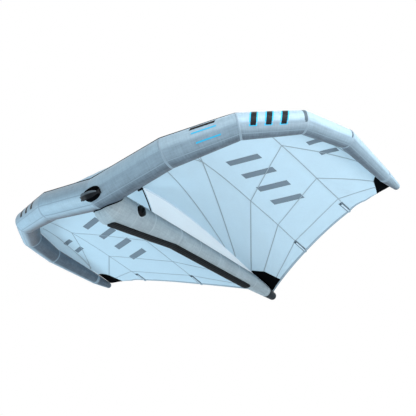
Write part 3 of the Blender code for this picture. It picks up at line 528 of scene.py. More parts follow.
def ring_band(bend, half_width, name, material, first_angle=0.0, last_angle=2 * math.pi,
              height=band_height):
    """A flat band round the sleeve: the sleeve's section carried a little to each side
    of a bend, with a wall of its own. A band that stops short narrows to a round end."""
    whole = last_angle - first_angle > 6.28
    angles = np.linspace(first_angle, last_angle, 144, endpoint=not whole)
    near = min(int(abs(bend)), last_bend - 1)
    rounding = np.ones(144)
    if not whole:
        left = (last_angle - angles) * bend_radii[near] / half_width
        rounding = np.sqrt(1 - (1 - np.clip(left, 0.02, 1))**2)
    offsets = np.linspace(-1, 1, 5)[:, None] * rounding * half_width / panel_lengths[near]
    bulge = height * np.array([0.25, 1.0, 0.85, 1.0, 0.25])
    outer = sleeve_point(bend + offsets, angles, bulge[:, None])
    inner = sleeve_point(bend + offsets[::-1], angles, -0.004)
    rings = np.concatenate([outer, inner])
    uv = np.stack(np.broadcast_arrays(angles * bend_radii[near],
                                      np.concatenate([offsets, offsets[::-1]])
                                      * panel_lengths[near]), axis=-1)
    if whole:
        faces = grid_faces(len(rings), len(angles), True, True)
    else:
        faces = grid_faces(len(rings), len(angles), True, False)
        for column in (0, len(angles) - 1):
            corner = np.arange(len(rings)) * len(angles) + column
            pairs = np.stack([corner[:4], corner[1:5], corner[8:4:-1], corner[9:5:-1]], axis=1)
            faces = np.vstack([faces, pairs if column else pairs[:, ::-1]])
    return make_piece(name, rings, faces, material, uv=uv)


for side, side_name in side_names.items():
    for bend in range(1, last_bend):
        ring_band(side * float(bend), band_half_width, "ring_seam_%d_%s" % (bend, side_name),
                  seam_tape)
        ring_band(side * (bend - 0.5), fine_band_half_width,
                  "fine_ring_seam_%d_%s" % (bend, side_name), seam_tape, height=0.0006)
ring_band(0.0, band_half_width, "ring_seam_middle", seam_tape)

bar_tape = cloth_material("dark_grey_bar_tape", (0.065, 0.095, 0.12), contrast=0.2,
                          specular=0.1)
for side, side_name in side_names.items():
    for bend, half_width, last_angle in ((3, 0.013, 214), (4, 0.0065, 204), (5, 0.0035, 198)):
        ring_band(side * (bend - 0.03), half_width, "tape_bar_%d_%s" % (bend, side_name),
                  bar_tape, math.radians(112), math.radians(last_angle), height=0.0013)


def cloth_slab(near, far):
    """Two grids of points joined to a closed sheet, with their faces."""
    rows, columns = near.shape[:2]
    count = rows * columns
    upper = grid_faces(rows, columns)
    lower = grid_faces(rows, columns, first=count)[:, ::-1]
    rim = np.concatenate([np.arange(columns), np.arange(1, rows) * columns + columns - 1,
                          count - 2 - np.arange(columns - 1),
                          np.arange(rows - 2, 0, -1) * columns])
    after = np.roll(rim, -1)
    edge = np.stack([after, rim, rim + count, after + count], axis=1)
    points = np.concatenate([near.reshape(-1, 3), far.reshape(-1, 3)])
    return points, np.vstack([upper, lower, edge])


def joined(parts):
    """The points and faces of several closed shapes as one mesh."""
    points = []
    faces = []
    first = 0
    for part_points, part_faces in parts:
        points.append(part_points)
        faces.append(part_faces + first)
        first += len(part_points)
    return np.concatenate(points), np.concatenate(faces)


length_seam = cloth_material("sleeve_length_seam", (0.18, 0.257, 0.318), streak_length=20.0,
                             contrast=0.2, specular=0.3, stitch_rows=(0.0, 0.0009, 0.009),
                             stitch_change=(0.05, 0.055, 0.06))
length_seam_angles = (gore_angle, rear_gore_angle, math.radians(75))
for side, side_name in side_names.items():
    seam_shapes = []
    seam_uv = []
    for number in range(last_bend - 1):
        share = np.linspace(0.0, 1.0, 30)[:, None]
        reach = (1 - share) * bend_radii[number] + share * bend_radii[number + 1]
        across = np.linspace(-0.0035, 0.0035, 5)[None, :]
        for seam_angle in length_seam_angles:
            angle = seam_angle + across / reach
            height = panel_relief(number, share, angle)
            place = side * (number + share * 0.999999) + 0 * angle
            seam_shapes.append(cloth_slab(sleeve_point(place, angle, height + 0.0009),
                                          sleeve_point(place, angle, height - 0.003)))
            along = np.stack(np.broadcast_arrays(share * panel_lengths[number], across), -1)
            seam_uv.append(np.concatenate([along.reshape(-1, 2)] * 2))
    points, faces = joined(seam_shapes)
    make_piece("length_seams_" + side_name, points, faces, length_seam,
               uv=np.concatenate(seam_uv))


# Canopy. One light ripstop sheet is stretched from the leading edge to the trailing edge
# over the centre strut, cambered between its ribs and hollowed between them at the rear.

canopy_wall = 0.002
cloth_gap = 0.0003
tape_thickness = 0.0015
trailing_aft = 2.507
tail_height = 0.169
root_camber = 0.235
scallop_depth = 0.018
rib_bends = np.array([0.0, 0.93, 1.93, 3.6, 5.0, 5.9])
rib_spans = half_span * np.array([0.0, 0.369, 0.717, 0.816, 0.8885, 0.967])
rib_afts = trailing_aft * np.array([1.0, 0.843, 0.750, 0.736, 0.728, 0.712])
rib_rises = np.array([tail_height, *(tip_rise * np.array([0.637, 0.908, 0.979, 1.026, 1.015]))])
rib_cambers = root_camber * np.array([1.0, 0.51, 0.277, 0.17, 0.05, 0.0])
camber_power = 0.6
seat_angle_middle = math.radians(60)
seat_angle_tip = math.radians(30)
tip_patch_bend = 5.0


def smooth_between(places, values, place):
    """A curve of the third degree between values, with the slope of their neighbours."""
    slopes = np.gradient(values, places)
    number = np.clip(np.searchsorted(places, place) - 1, 0, len(places) - 2)
    width = places[number + 1] - places[number]
    share = (place - places[number]) / width
    rising = share**2 * (3 - 2 * share)
    return ((1 - rising) * values[number] + rising * values[number + 1]
            + width * share * (1 - share)
            * ((1 - share) * slopes[number] - share * slopes[number + 1]))


def canopy_point(bend, share):
    """The upper side of the canopy. It runs straight from the seat on the tube to the
    trailing edge and rises by the camber times the sine of the share of the chord."""
    bend, share = np.broadcast_arrays(np.asarray(bend, float), np.asarray(share, float))
    outward = np.minimum(np.abs(bend), 5.9)
    seat_angle = seat_angle_middle + (seat_angle_tip - seat_angle_middle) * outward / last_bend
    deeper = np.clip((outward - tip_patch_bend + 0.3) / 0.3, 0, 1)
    seat_depth = canopy_wall + cloth_gap + 2 * (tape_thickness + cloth_gap) * deeper
    front = sleeve_point(outward, seat_angle, seat_depth)
    span = np.interp(outward, rib_bends, rib_spans)
    number = np.clip(np.searchsorted(rib_spans, span) - 1, 0, len(rib_spans) - 2)
    across = (span - rib_spans[number]) / (rib_spans[number + 1] - rib_spans[number])
    hollow = np.where(number > 2, 0.0, scallop_depth * 4 * across * (1 - across))
    back = tube_middle + np.stack([span, np.interp(span, rib_spans, rib_afts) - hollow,
                                   smooth_between(rib_spans, rib_rises, span)], axis=-1)
    place = front + share[..., None] * (back - front)
    camber = smooth_between(rib_spans, rib_cambers, span)
    place[..., 2] += camber * np.sin(math.pi * np.clip(share, 0, 1)**camber_power)
    place[..., 0] *= np.where(bend < 0, -1, 1)
    return place


def under_canopy(bend, share, depth):
    """A point at a depth below the upper side, along the canopy's own normal."""
    step = 0.002
    bend, share = np.broadcast_arrays(np.asarray(bend, float), np.asarray(share, float))
    aside = canopy_point(bend + step, share) - canopy_point(bend - step, share)
    front = np.maximum(share - step, 0.0)
    behind = canopy_point(bend, front + 2 * step) - canopy_point(bend, front)
    normal = unit(np.cross(aside, behind))
    normal *= np.sign(normal[..., 2:])
    return canopy_point(bend, share) - np.asarray(depth)[..., None] * normal


def laid_cloth(name, bend, share, near, far, material, node_names=()):
    """Cloth laid along the canopy between two depths below its upper side."""
    bend, share = np.broadcast_arrays(bend, share)
    near_points = under_canopy(bend, share, np.broadcast_to(near, bend.shape))
    far_points = under_canopy(bend, share, np.broadcast_to(far, bend.shape))
    points, faces = cloth_slab(near_points, far_points)
    return make_piece(name, points, faces, material, node_names, points[:, :2])


canopy_cloth = cloth_material("light_blue_canopy_ripstop", (0.565, 0.700, 0.780),
                              streak_length=30.0, contrast=0.06, thread=260.0, bump=0.15,
                              transmission=0.5, specular=0.2)
canopy_bends = np.linspace(-5.9, 5.9, 237)
canopy_shares = np.linspace(0.0, 1.0, 91)**1.25
canopy_sheet = laid_cloth("canopy_sheet", canopy_bends[:, None], canopy_shares[None, :],
                          0.0002, canopy_wall - 0.0002, canopy_cloth,
                          ["canopy_right", "canopy_left"])
sheet_points = canopy_point(canopy_bends[:, None], canopy_shares[None, :])

wrap_edge_middle = math.radians(139)
wrap_edge_end = math.radians(92)
wrap_reach = (1.3, 2.7)
wrap_lift = 0.030
wrap_lift_reach = 0.17


def wrap_point(bend, share, height):
    """The strip that closes the canopy over the top of the sleeve. It runs from the seat
    to an edge on the front of the sleeve, and bridges the hollow of the middle bend by
    a lift that falls as the square of the distance grows, in a bell."""
    outward = np.abs(bend)
    fade = np.clip((outward - wrap_reach[0]) / (wrap_reach[1] - wrap_reach[0]), 0, 1)
    edge = wrap_edge_middle + (wrap_edge_end - wrap_edge_middle) * fade**2 * (3 - 2 * fade)
    seat = seat_angle_middle + (seat_angle_tip - seat_angle_middle) * outward / last_bend
    angle = edge + share * (seat - edge)
    bell = np.exp(-(outward * panel_lengths[0] / wrap_lift_reach)**2)
    lift = wrap_lift * bell * np.sin(math.pi * share**0.7)
    return sleeve_point(bend, angle, height + lift)


wrap_bends = np.linspace(-wrap_reach[1], wrap_reach[1], 241)[:, None]
wrap_shares = np.linspace(0.0, 0.995, 30)[None, :]
points, faces = cloth_slab(wrap_point(wrap_bends, wrap_shares, 0.0026),
                           wrap_point(wrap_bends, wrap_shares, 0.0012))
wrap_uv = np.stack(np.broadcast_arrays(wrap_bends * 0.7, wrap_shares * 0.2), axis=-1)
make_piece("canopy_front_wrap", points, faces, canopy_cloth,
           uv=np.concatenate([wrap_uv.reshape(-1, 2)] * 2))


# Seams of the canopy. The panels meet in narrow felled seams that fan out from the strut
# and the leading edge. They show on both sides as thin grey lines.

seam_nodes = {
    "tube_middle": (1.247, 0.347), "fore": (1.237, 0.771), "half": (1.244, 1.307),
    "rear": (1.253, 1.660), "outer_pocket": (1.253, 1.706), "inner_fore": (0.628, 0.515),
    "inner_middle": (0.628, 1.205), "inner_half": (0.639, 1.627),
    "inner_rear": (0.642, 1.916), "inner_pocket": (0.653, 1.944), "tube_tip": (1.672, 1.452),
    "tip_patch_front": (1.600, 1.663), "tip_patch_rear": (1.574, 1.742),
    "tail_patch_front": (0.003, 2.105), "tail_patch_side": (0.109, 2.170),
    "tail_patch_rear": (0.165, 2.311), "strut_rear": (0.003, 1.836),
    "strut_half": (0.003, 1.660), "tube_inner": (0.410, 0.110), "tube_left": (0.499, 0.118),
    "tube_near": (0.667, 0.140), "tube_right": (0.786, 0.175), "strip_fore": (1.424, 0.560),
    "strip_rear": (1.655, 1.440)}
seam_runs = (
    ("tube_middle", "fore"), ("fore", "half"), ("half", "rear"), ("rear", "outer_pocket"),
    ("inner_fore", "inner_middle"), ("inner_middle", "inner_half"),
    ("inner_half", "inner_rear"), ("inner_rear", "inner_pocket"), ("fore", "inner_middle"),
    ("half", "inner_half"), ("rear", "inner_rear"), ("fore", "tube_tip"),
    ("half", "tip_patch_front"), ("rear", "tip_patch_rear"),
    ("inner_middle", "tail_patch_front"), ("inner_half", "tail_patch_side"),
    ("inner_rear", "tail_patch_rear"), ("inner_fore", "strut_rear"),
    ("inner_fore", "tube_near"), ("inner_fore", "tube_right"), ("inner_fore", "tube_left"),
    ("tube_inner", "strut_half"), ("strip_fore", "strip_rear"))
seam_half_width = 0.0036
seam_height = 0.0008


def canopy_share(span, aft):
    """The bend and chord share at a place in plan, found by a few Newton steps."""
    bend = np.interp(span, rib_spans, rib_bends)
    share = np.clip((aft - 0.3) / 1.8, 0.02, 0.98)
    target = np.stack([span, aft], axis=-1) + tube_middle[:2]
    step = 0.001
    for _ in range(14):
        here = canopy_point(bend, share)[..., :2]
        by_bend = (canopy_point(bend + step, share)[..., :2] - here) / step
        by_share = (canopy_point(bend, share + step)[..., :2] - here) / step
        miss = target - here
        scale = by_bend[..., 0] * by_share[..., 1] - by_bend[..., 1] * by_share[..., 0]
        bend = bend + np.clip((miss[..., 0] * by_share[..., 1]
                               - miss[..., 1] * by_share[..., 0]) / scale, -0.3, 0.3)
        share = share + np.clip((by_bend[..., 0] * miss[..., 1]
                                 - by_bend[..., 1] * miss[..., 0]) / scale, -0.1, 0.1)
        bend = np.clip(bend, 0.0, 5.89)
        share = np.clip(share, 0.0, 0.999)
    return bend, share


def plan_strip(start, end, start_half_width, end_half_width, spacing=0.02, columns=3):
    """Bends and shares of a strip that is straight in plan and wide to both sides."""
    start = np.array(start)
    end = np.array(end)
    run = end - start
    along = np.linspace(0.0, 1.0, max(3, int(np.linalg.norm(run) / spacing)))[:, None]
    aside = np.array([-run[1], run[0]]) / np.linalg.norm(run)
    half = start_half_width + along * (end_half_width - start_half_width)
    across = np.linspace(-1.0, 1.0, columns)[None, :] * half
    place = start + along[..., None] * run + across[..., None] * aside
    return canopy_share(place[..., 0], place[..., 1])


seam_thread = cloth_material("canopy_seam_grey", (0.34, 0.43, 0.49), contrast=0.12,
                             specular=0.1, transmission=0.3)
seam_strips = [plan_strip(seam_nodes[start], seam_nodes[end], seam_half_width,
                          seam_half_width) for start, end in seam_runs]
for side, side_name in side_names.items():
    for face_name, near, far in (("under", canopy_wall - 0.0005, canopy_wall + seam_height),
                                 ("upper", -seam_height, 0.0005)):
        shapes = [cloth_slab(under_canopy(side * bend, share, np.full(bend.shape, near)),
                             under_canopy(side * bend, share, np.full(bend.shape, far)))
                  for bend, share in seam_strips]
        points, faces = joined(shapes)
        make_piece("canopy_seams_%s_%s" % (face_name, side_name), points, faces, seam_thread,
                   uv=points[:, :2])


# Patches, hem and batten pockets. Black cloth backs the tail and both tips, a folded tape
# closes the trailing edge, and each batten has a pocket that opens through that hem.

patch_cloth = cloth_material("black_patch_cloth", (0.0010, 0.0015, 0.0022), contrast=0.9,
                             streak_length=40.0, thread=300.0, specular=0.03, matt=0.95)
hem_cloth = cloth_material("grey_hem_tape", (0.26, 0.35, 0.42), contrast=0.2, specular=0.15)
binding_cloth = cloth_material("pocket_binding_tape", (0.10, 0.145, 0.185), contrast=0.2,
                               specular=0.15)
pocket_cloth = cloth_material("pocket_ripstop", (0.50, 0.64, 0.74), contrast=0.15,
                              specular=0.2)
under_tape = canopy_wall + cloth_gap
hem_share = 0.987
pocket_share = 0.905
pocket_half_width = 0.014
channel_half_width = 0.009
channel_depth = 0.006


def channel_bulge(distance):
    """How far pocket cloth stands off: the full depth over the channel, falling to
    nothing at the pocket's edge along a cosine."""
    fall = np.clip((np.abs(distance) - 0.55 * channel_half_width)
                   / (pocket_half_width - 0.55 * channel_half_width - 0.002), 0, 1)
    return channel_depth * (0.5 + 0.5 * np.cos(math.pi * fall))


hem_mouth = 1.2
pocket_bends = {"inner": 0.93, "outer": 1.93}
edge_bends = np.linspace(0.0, 5.0, 2001)
edge_places = under_canopy(edge_bends, np.ones(2001), np.full(2001, canopy_wall))[:, 0]


def bend_across(rib, across):
    """The bend value at a distance to the side of a rib, read off the trailing edge."""
    rib_place = np.interp(rib, edge_bends, edge_places)
    return np.interp(rib_place + across, edge_places, edge_bends)


for side, side_name in side_names.items():
    tail_rows = np.linspace(0.838, hem_share + 0.004, 24)[None, :]
    tail_width = np.interp(tail_rows, [0.838, 0.893, 1.0], [0.03, 0.178, 0.282])
    tail_bends = side * np.linspace(0.004, 1.0, 18)[:, None] * tail_width
    laid_cloth("tail_patch_cloth_" + side_name, tail_bends, tail_rows, canopy_wall - 0.0003,
               under_tape + tape_thickness, patch_cloth, ["tail_patch_" + side_name])
    laid_cloth("tail_patch_upper_" + side_name, tail_bends, tail_rows, -tape_thickness,
               0.0004, patch_cloth)

    tip_rows = np.linspace(0.0, 1.0, 40)[None, :]
    tip_inner = np.interp(tip_rows, [0.0, 0.535, 1.0], [4.97, 4.80, 5.0])
    tip_bends = side * (tip_inner + np.linspace(0.0, 1.0, 24)[:, None] * (5.9 - tip_inner))
    laid_cloth("tip_patch_cloth_" + side_name, tip_bends, tip_rows, canopy_wall - 0.0003,
               under_tape + tape_thickness, patch_cloth, ["tip_patch_" + side_name])
    laid_cloth("tip_patch_upper_" + side_name, tip_bends, tip_rows, -tape_thickness,
               0.0004, patch_cloth)

    hem_bends = [np.linspace(0.0, 4.93, 200)]
    for place, rib in pocket_bends.items():
        hem_bends.append(bend_across(rib, np.linspace(-1, 1, 33) * hem_mouth
                                     * pocket_half_width))
    hem_bends = np.unique(np.concatenate(hem_bends))
    hem_bulge = np.zeros(len(hem_bends))
    for place, rib in pocket_bends.items():
        across_hem = (np.interp(hem_bends, edge_bends, edge_places)
                      - np.interp(rib, edge_bends, edge_places)) / hem_mouth
        hem_bulge = np.maximum(hem_bulge, hem_mouth * channel_bulge(across_hem))
    hem_shares = np.array([hem_share - 0.001, 0.991, 0.996, 1.0])
    hem_edge = np.array([0.4, 1.0, 1.0, 0.7])
    laid_cloth("hem_upper_fold_" + side_name, side * hem_bends[:, None],
               hem_shares[None, :], -0.0009 * hem_edge[None, :] + 0 * hem_bends[:, None],
               canopy_wall + 0 * hem_bends[:, None], hem_cloth)
    laid_cloth("hem_lower_fold_" + side_name, side * hem_bends[:, None],
               hem_shares[None, :], canopy_wall + hem_bulge[:, None] - 0 * hem_edge[None, :],
               canopy_wall + 0.0012 * hem_edge[None, :] + hem_bulge[:, None], hem_cloth,
               ["trailing_edge_hem_" + side_name])

    for place, rib in pocket_bends.items():
        across = np.linspace(-1, 1, 25)[:, None] * pocket_half_width
        along = np.linspace(pocket_share, hem_share, 30)[None, :]
        from_end = np.clip((along - pocket_share) / 0.010, 0, 1)
        bulge = channel_bulge(across) * np.sin(from_end * math.pi / 2)
        pocket = side * bend_across(rib, across) + 0 * along
        laid_cloth("pocket_%s_%s" % (place, side_name), pocket, along + 0 * across,
                   under_tape + bulge - 0.0003, under_tape + bulge + 0.0007, pocket_cloth,
                   ["batten_pocket_%s_%s" % (place, side_name)])
        for edge_name, low, high in (("fore", -1.22, -0.50), ("aft", 0.50, 1.22)):
            trim = np.linspace(low, high, 7)[:, None] * pocket_half_width
            trim_height = channel_bulge(trim) * np.sin(from_end * math.pi / 2)
            laid_cloth("pocket_binding_%s_%s_%s" % (edge_name, place, side_name),
                       side * bend_across(rib, trim) + 0 * along,
                       along + 0 * trim, canopy_wall - 0.0003,
                       under_tape + 0.0014 + trim_height, binding_cloth)
        cap_share = np.linspace(pocket_share - 0.004, pocket_share + 0.010, 8)[None, :]
        cap_across = np.linspace(-1.25, 1.25, 17)[:, None] * pocket_half_width
        cap_rise = channel_bulge(cap_across) * np.clip((cap_share - pocket_share) / 0.01, 0, 1)
        laid_cloth("pocket_end_%s_%s" % (place, side_name),
                   side * bend_across(rib, cap_across) + 0 * cap_share,
                   cap_share + 0 * cap_across, canopy_wall - 0.0003,
                   under_tape + 0.0018 + cap_rise, binding_cloth)
        tack_share = np.linspace(pocket_share + 0.001, pocket_share + 0.006, 8)[None, :]
        tack_across = np.linspace(-0.36, 0.36, 9)[:, None] * pocket_half_width
        tack_rise = channel_bulge(tack_across) * np.clip((tack_share - pocket_share) / 0.01, 0, 1)
        laid_cloth("pocket_tack_%s_%s" % (place, side_name),
                   side * bend_across(rib, tack_across) + 0 * tack_share,
                   tack_share + 0 * tack_across, canopy_wall, under_tape + 0.0030 + tack_rise,
                   patch_cloth)


# Centre strut. Two woven sleeves are sewn together at the kink and to the leading edge at
# the round nose, round one bladder, with a moulded fairing on the tail.

root_chord = 2.640
strut_radius = 0.145
strut_stations = root_chord * np.array([0.0625, 0.351, 0.795, 0.871, 0.943])
strut_heights = strut_radius * np.array([-0.379, 0.345, 0.807, 0.841, 0.814])
strut_radii = strut_radius * np.array([1.0, 0.655, 0.552, 0.441, 0.283])
nose_aft = strut_stations[0]
kink_aft = strut_stations[1]
tail_cap_dome = 0.038
tail_cap_start = strut_stations[-1] - 0.122 + tail_cap_dome


def strut_reach(aft, outset=0.0):
    """Radius of the strut: even steps between stations, and a ball ahead of the first."""
    ball = np.sqrt(np.maximum((strut_radius + outset)**2 - (nose_aft - aft)**2, 1e-8))
    return np.where(aft < nose_aft, ball, np.interp(aft, strut_stations, strut_radii) + outset)


def strut_point(aft, angle, outset=0.0):
    """A round upright section at an aft place. Angle 0 is to the right, and a quarter
    turn is up."""
    aft, angle, outset = np.broadcast_arrays(aft, angle, outset)
    reach = strut_reach(aft, outset)
    return tube_middle + np.stack([
        reach * np.cos(angle), aft,
        np.interp(aft, strut_stations, strut_heights) + reach * np.sin(angle)], axis=-1)


def tube_distance(place):
    """Distance of points from the first panel of the leading edge, on either side."""
    mirrored = (place - tube_middle) * np.where(place[..., :1] < 0, (-1, 1, 1), (1, 1, 1))
    run = bend_points[1] - bend_points[0]
    share = np.clip(mirrored @ run / (run @ run), 0.0, 1.0)
    reach = (1 - share) * bend_radii[0] + share * bend_radii[1]
    return np.linalg.norm(mirrored - share[..., None] * run, axis=-1) - reach


def seam_aft(angle, clear=0.0):
    """Where the strut comes out of the leading edge at each angle, by halving."""
    near = np.full(np.shape(angle), nose_aft - strut_radius - clear + 1e-5)
    far = np.full(np.shape(angle), kink_aft)
    for _ in range(36):
        middle = (near + far) / 2
        outside = tube_distance(strut_point(middle, angle, clear)) > clear
        far = np.where(outside, middle, far)
        near = np.where(outside, near, middle)
    return far


strut_around = 144
strut_angles = np.arange(strut_around) * 2 * math.pi / strut_around
nose_seam = seam_aft(strut_angles)
fold_height = 0.0024
fold_reach = 0.085


def strut_folds(aft, angle, start):
    """Folds that fan out of the seam round the nose and fade along the strut."""
    distance = np.maximum(aft - start, 0.0)
    waves = (np.cos(17 * angle + 0.4) + 0.7 * np.cos(29 * angle + 2.0)
             + 0.5 * np.cos(7 * angle + 1.1))
    belly = 0.35 + 0.65 * (0.5 - 0.5 * np.sin(angle))
    return (fold_height * belly * waves * np.exp(-distance / fold_reach)
            * (1 - np.exp(-distance / 0.012)))


# The strut cloth's change is taken away where its painted shade lies.
strut_cloth = cloth_material("strut_woven_cloth", (0.27, 0.345, 0.39), contrast=0.5,
                             specular=0.2, painted_light_change=(0.18, 0.22, 0.24))
strut_tape = cloth_material("strut_seam_tape", (0.31, 0.39, 0.44), contrast=0.2, specular=0.2,
                            stitch_rows=(0.0045, 0.0010, 0.009),
                            stitch_change=(0.05, 0.055, 0.06))
# Painted shade on the strut: its upper half is painted darker, most along the top, as the shade
# under the web and the canopy.
strut_painted_shade = -np.clip((np.sin(strut_angles) + 0.05) / 0.75, 0, 1)**1.3
front_rows = 90
front_share = np.linspace(0.0, 1.0, front_rows)[:, None]**1.5
front_aft = nose_seam + front_share * (kink_aft - nose_seam)
kink_dip = seam_dip * np.exp(-((kink_aft - front_aft) / seam_reach)**2)
front_outer = strut_point(front_aft, strut_angles,
                          strut_folds(front_aft, strut_angles, nose_seam) - kink_dip)
front_inner = strut_point(front_aft[::-6], strut_angles, -0.006)
front_rings = np.concatenate([front_outer, front_inner])
front_uv = np.stack(np.broadcast_arrays(strut_angles * strut_radius,
                                        np.concatenate([front_aft, front_aft[::-6]])), -1)
make_piece("strut_front_sleeve", front_rings,
           grid_faces(len(front_rings), strut_around, True, True), strut_cloth,
           ["strut_sleeve_front"], front_uv,
           painted_light_and_shade=np.broadcast_to(strut_painted_shade, front_rings.shape[:2]))

fairing_start = tail_cap_start - 0.030
rear_aft = np.linspace(kink_aft, fairing_start, 130)[:, None]
rear_dip = (seam_dip * np.exp(-((rear_aft - kink_aft) / seam_reach)**2)
            + seam_dip * np.exp(-((fairing_start - rear_aft) / seam_reach)**2))
rear_outer = strut_point(rear_aft, strut_angles, -rear_dip)
rear_inner = strut_point(rear_aft[::-8], strut_angles, -0.004)
rear_rings = np.concatenate([rear_outer, rear_inner])
rear_uv = np.stack(np.broadcast_arrays(strut_angles * 0.09,
                                       np.concatenate([rear_aft, rear_aft[::-8]])), -1)
make_piece("strut_rear_sleeve", rear_rings,
           grid_faces(len(rear_rings), strut_around, True, True), strut_cloth,
           ["strut_sleeve_rear"], rear_uv,
           painted_light_and_shade=np.broadcast_to(strut_painted_shade, rear_rings.shape[:2]))

for number, aft in enumerate((0.34, 0.56, kink_aft, 1.20, 1.50, 1.80, 2.10)):
    half = band_half_width if aft == kink_aft else fine_band_half_width
    offsets = aft + np.linspace(-1, 1, 5)[:, None] * half
    bulge = band_height * np.array([0.25, 1.0, 0.85, 1.0, 0.25])[:, None]
    rings = np.concatenate([strut_point(offsets, strut_angles, bulge),
                            strut_point(offsets[::-1], strut_angles, -0.004)])
    band_uv = np.stack(np.broadcast_arrays(strut_angles * 0.09,
                                           np.concatenate([offsets, offsets[::-1]])), -1)
    make_piece("strut_ring_seam_%d" % (number + 1), rings,
               grid_faces(len(rings), strut_around, True, True), strut_tape, uv=band_uv)

tail_plastic = cloth_material("dark_grey_tail_fairing", (0.010, 0.017, 0.024), contrast=0.3,
                              streak_length=60.0, specular=0.12)
tail_end = strut_stations[-1]
cap_lengths = np.linspace(fairing_start + 0.0003, tail_end, 20)[:, None]
cap_body = strut_point(cap_lengths, strut_angles)
cap_dome = np.radians(np.linspace(4, 89.5, 20))[:, None]
tail_middle = tube_middle + (0.0, tail_end, strut_heights[-1])
dome_rings = tail_middle + np.stack(np.broadcast_arrays(
    strut_radii[-1] * np.cos(cap_dome) * np.cos(strut_angles), tail_cap_dome * np.sin(cap_dome),
    strut_radii[-1] * np.cos(cap_dome) * np.sin(strut_angles)), axis=-1)
cap_rings = np.concatenate([cap_body, dome_rings, tail_middle + (dome_rings[::-6]
                                                                 - tail_middle) * 0.9])
cap_uv = np.stack(np.broadcast_arrays(strut_angles * 0.05,
                                      np.arange(len(cap_rings))[:, None] * 0.004), axis=-1)
make_piece("tail_fairing", cap_rings, grid_faces(len(cap_rings), strut_around, True, True),
           tail_plastic, ["strut_tail_cap"], cap_uv)


# Piping round the nose. A black cord in a folded tape is sewn into the seam of the strut
# and the leading edge.

piping_radius = 0.004
piping_reach = math.radians(125)


def bead(name, path, radius, material, node_names=(), sides=20, body="wing",
         guide=(0.0, 0.0, 1.0)):
    """A round bead along a path, with a ball at each end: a circle across the path's
    direction at every point, shrunk along a quarter circle at the ends."""
    path = np.asarray(path, dtype=float)
    way = unit(np.gradient(path, axis=0))
    aside = unit(np.cross(way, np.asarray(guide)))
    over = np.cross(aside, way)
    radius = np.broadcast_to(radius, len(path)).astype(float)
    ball = np.radians(np.linspace(88, 12, 6))
    start = path[0] - np.outer(radius[0] * np.sin(ball), way[0])
    end = path[-1] + np.outer(radius[-1] * np.sin(ball[::-1]), way[-1])
    middles = np.concatenate([start, path, end])
    reaches = np.concatenate([radius[0] * np.cos(ball), radius,
                              radius[-1] * np.cos(ball[::-1])])
    pick = np.clip(np.arange(len(middles)) - 6, 0, len(path) - 1)
    turns = np.arange(sides) * 2 * math.pi / sides
    rings = middles[:, None] + reaches[:, None, None] * (
        np.cos(turns)[None, :, None] * aside[pick][:, None]
        + np.sin(turns)[None, :, None] * over[pick][:, None])
    points, faces = capped_rings(rings)
    length = np.concatenate([[0], np.cumsum(np.linalg.norm(np.diff(middles, axis=0), axis=1))])
    uv = np.stack(np.broadcast_arrays(turns * reaches.max(), length[:, None]), axis=-1)
    uv = np.concatenate([uv.reshape(-1, 2), [[0, 0], [0, length[-1]]]])
    return make_piece(name, points, faces, material, node_names, uv, body)


def capped_rings(rings):
    """Rings joined to a closed skin, with a point in the middle of each end. An end's
    faces have two corners at that point's place, so that all have four."""
    count, sides = rings.shape[:2]
    points = np.concatenate([rings.reshape(-1, 3), rings[:1].mean(axis=1),
                             rings[-1:].mean(axis=1)])
    faces = [grid_faces(count, sides, False, True)]
    step = np.arange(0, sides, 2)
    for ring, middle, flip in ((0, count * sides, True), (count - 1, count * sides + 1, False)):
        corner = ring * sides + step
        between = ring * sides + (step + 1) % sides
        after = ring * sides + (step + 2) % sides
        fan = np.stack([np.full(len(step), middle), corner, between, after], axis=1)
        faces.append(fan[:, ::-1] if flip else fan)
    return points, np.concatenate(faces)


piping_turns = np.linspace(-piping_reach, piping_reach, 121) - math.pi / 2
piping_clear = piping_radius + 0.0006
piping_path = strut_point(seam_aft(piping_turns, piping_clear), piping_turns, piping_clear)
bead("nose_piping", piping_path, piping_radius, patch_cloth, ["strut_seam_piping"],
     guide=(0.0, 1.0, 0.0))
wrap_edge = wrap_point(wrap_bends[:, 0], np.zeros(len(wrap_bends)), 0.0018)
bead("canopy_front_piping", wrap_edge, 0.0036, patch_cloth, sides=12)


# Web. An upright ripstop panel joins the strut to the canopy. Its front edge is cut
# hollow and bound in black, with a block of patch cloth at the head.

web_head_aft = 0.463
web_foot_aft = 0.630
web_bow = 0.012
web_wall = 0.0010
web_cloth = cloth_material("white_web_ripstop", (0.80, 0.85, 0.88), contrast=0.05,
                           streak_length=30.0, thread=260.0, bump=0.12, transmission=0.4,
                           specular=0.2)
web_tape_cloth = cloth_material("web_foot_tape", (0.60, 0.69, 0.77), contrast=0.08,
                                specular=0.2)
middle_shares = np.linspace(0.0, 1.0, 400)
middle_line = under_canopy(np.zeros(400), middle_shares, np.full(400, canopy_wall))


def web_point(share, rise):
    """A straight upright run from the strut's top to the canopy's underside, with the
    front edge bowed aft."""
    foot = web_foot_aft + share * (tail_cap_start - web_foot_aft)
    head = web_head_aft + share * (tail_cap_start - web_head_aft)
    low = np.interp(foot, strut_stations, strut_heights) + strut_reach(foot) + tube_middle[2]
    high = np.interp(head + tube_middle[1], middle_line[:, 1], middle_line[:, 2])
    bow = web_bow * 4 * rise * (1 - rise) * (1 - share)**2
    aft = foot + rise * (head - foot) + bow
    billow = 0.003 * np.sin(math.pi * share) * np.sin(math.pi * rise)
    return np.stack(np.broadcast_arrays(billow, tube_middle[1] + aft,
                                        low + rise * (high - low)), axis=-1)


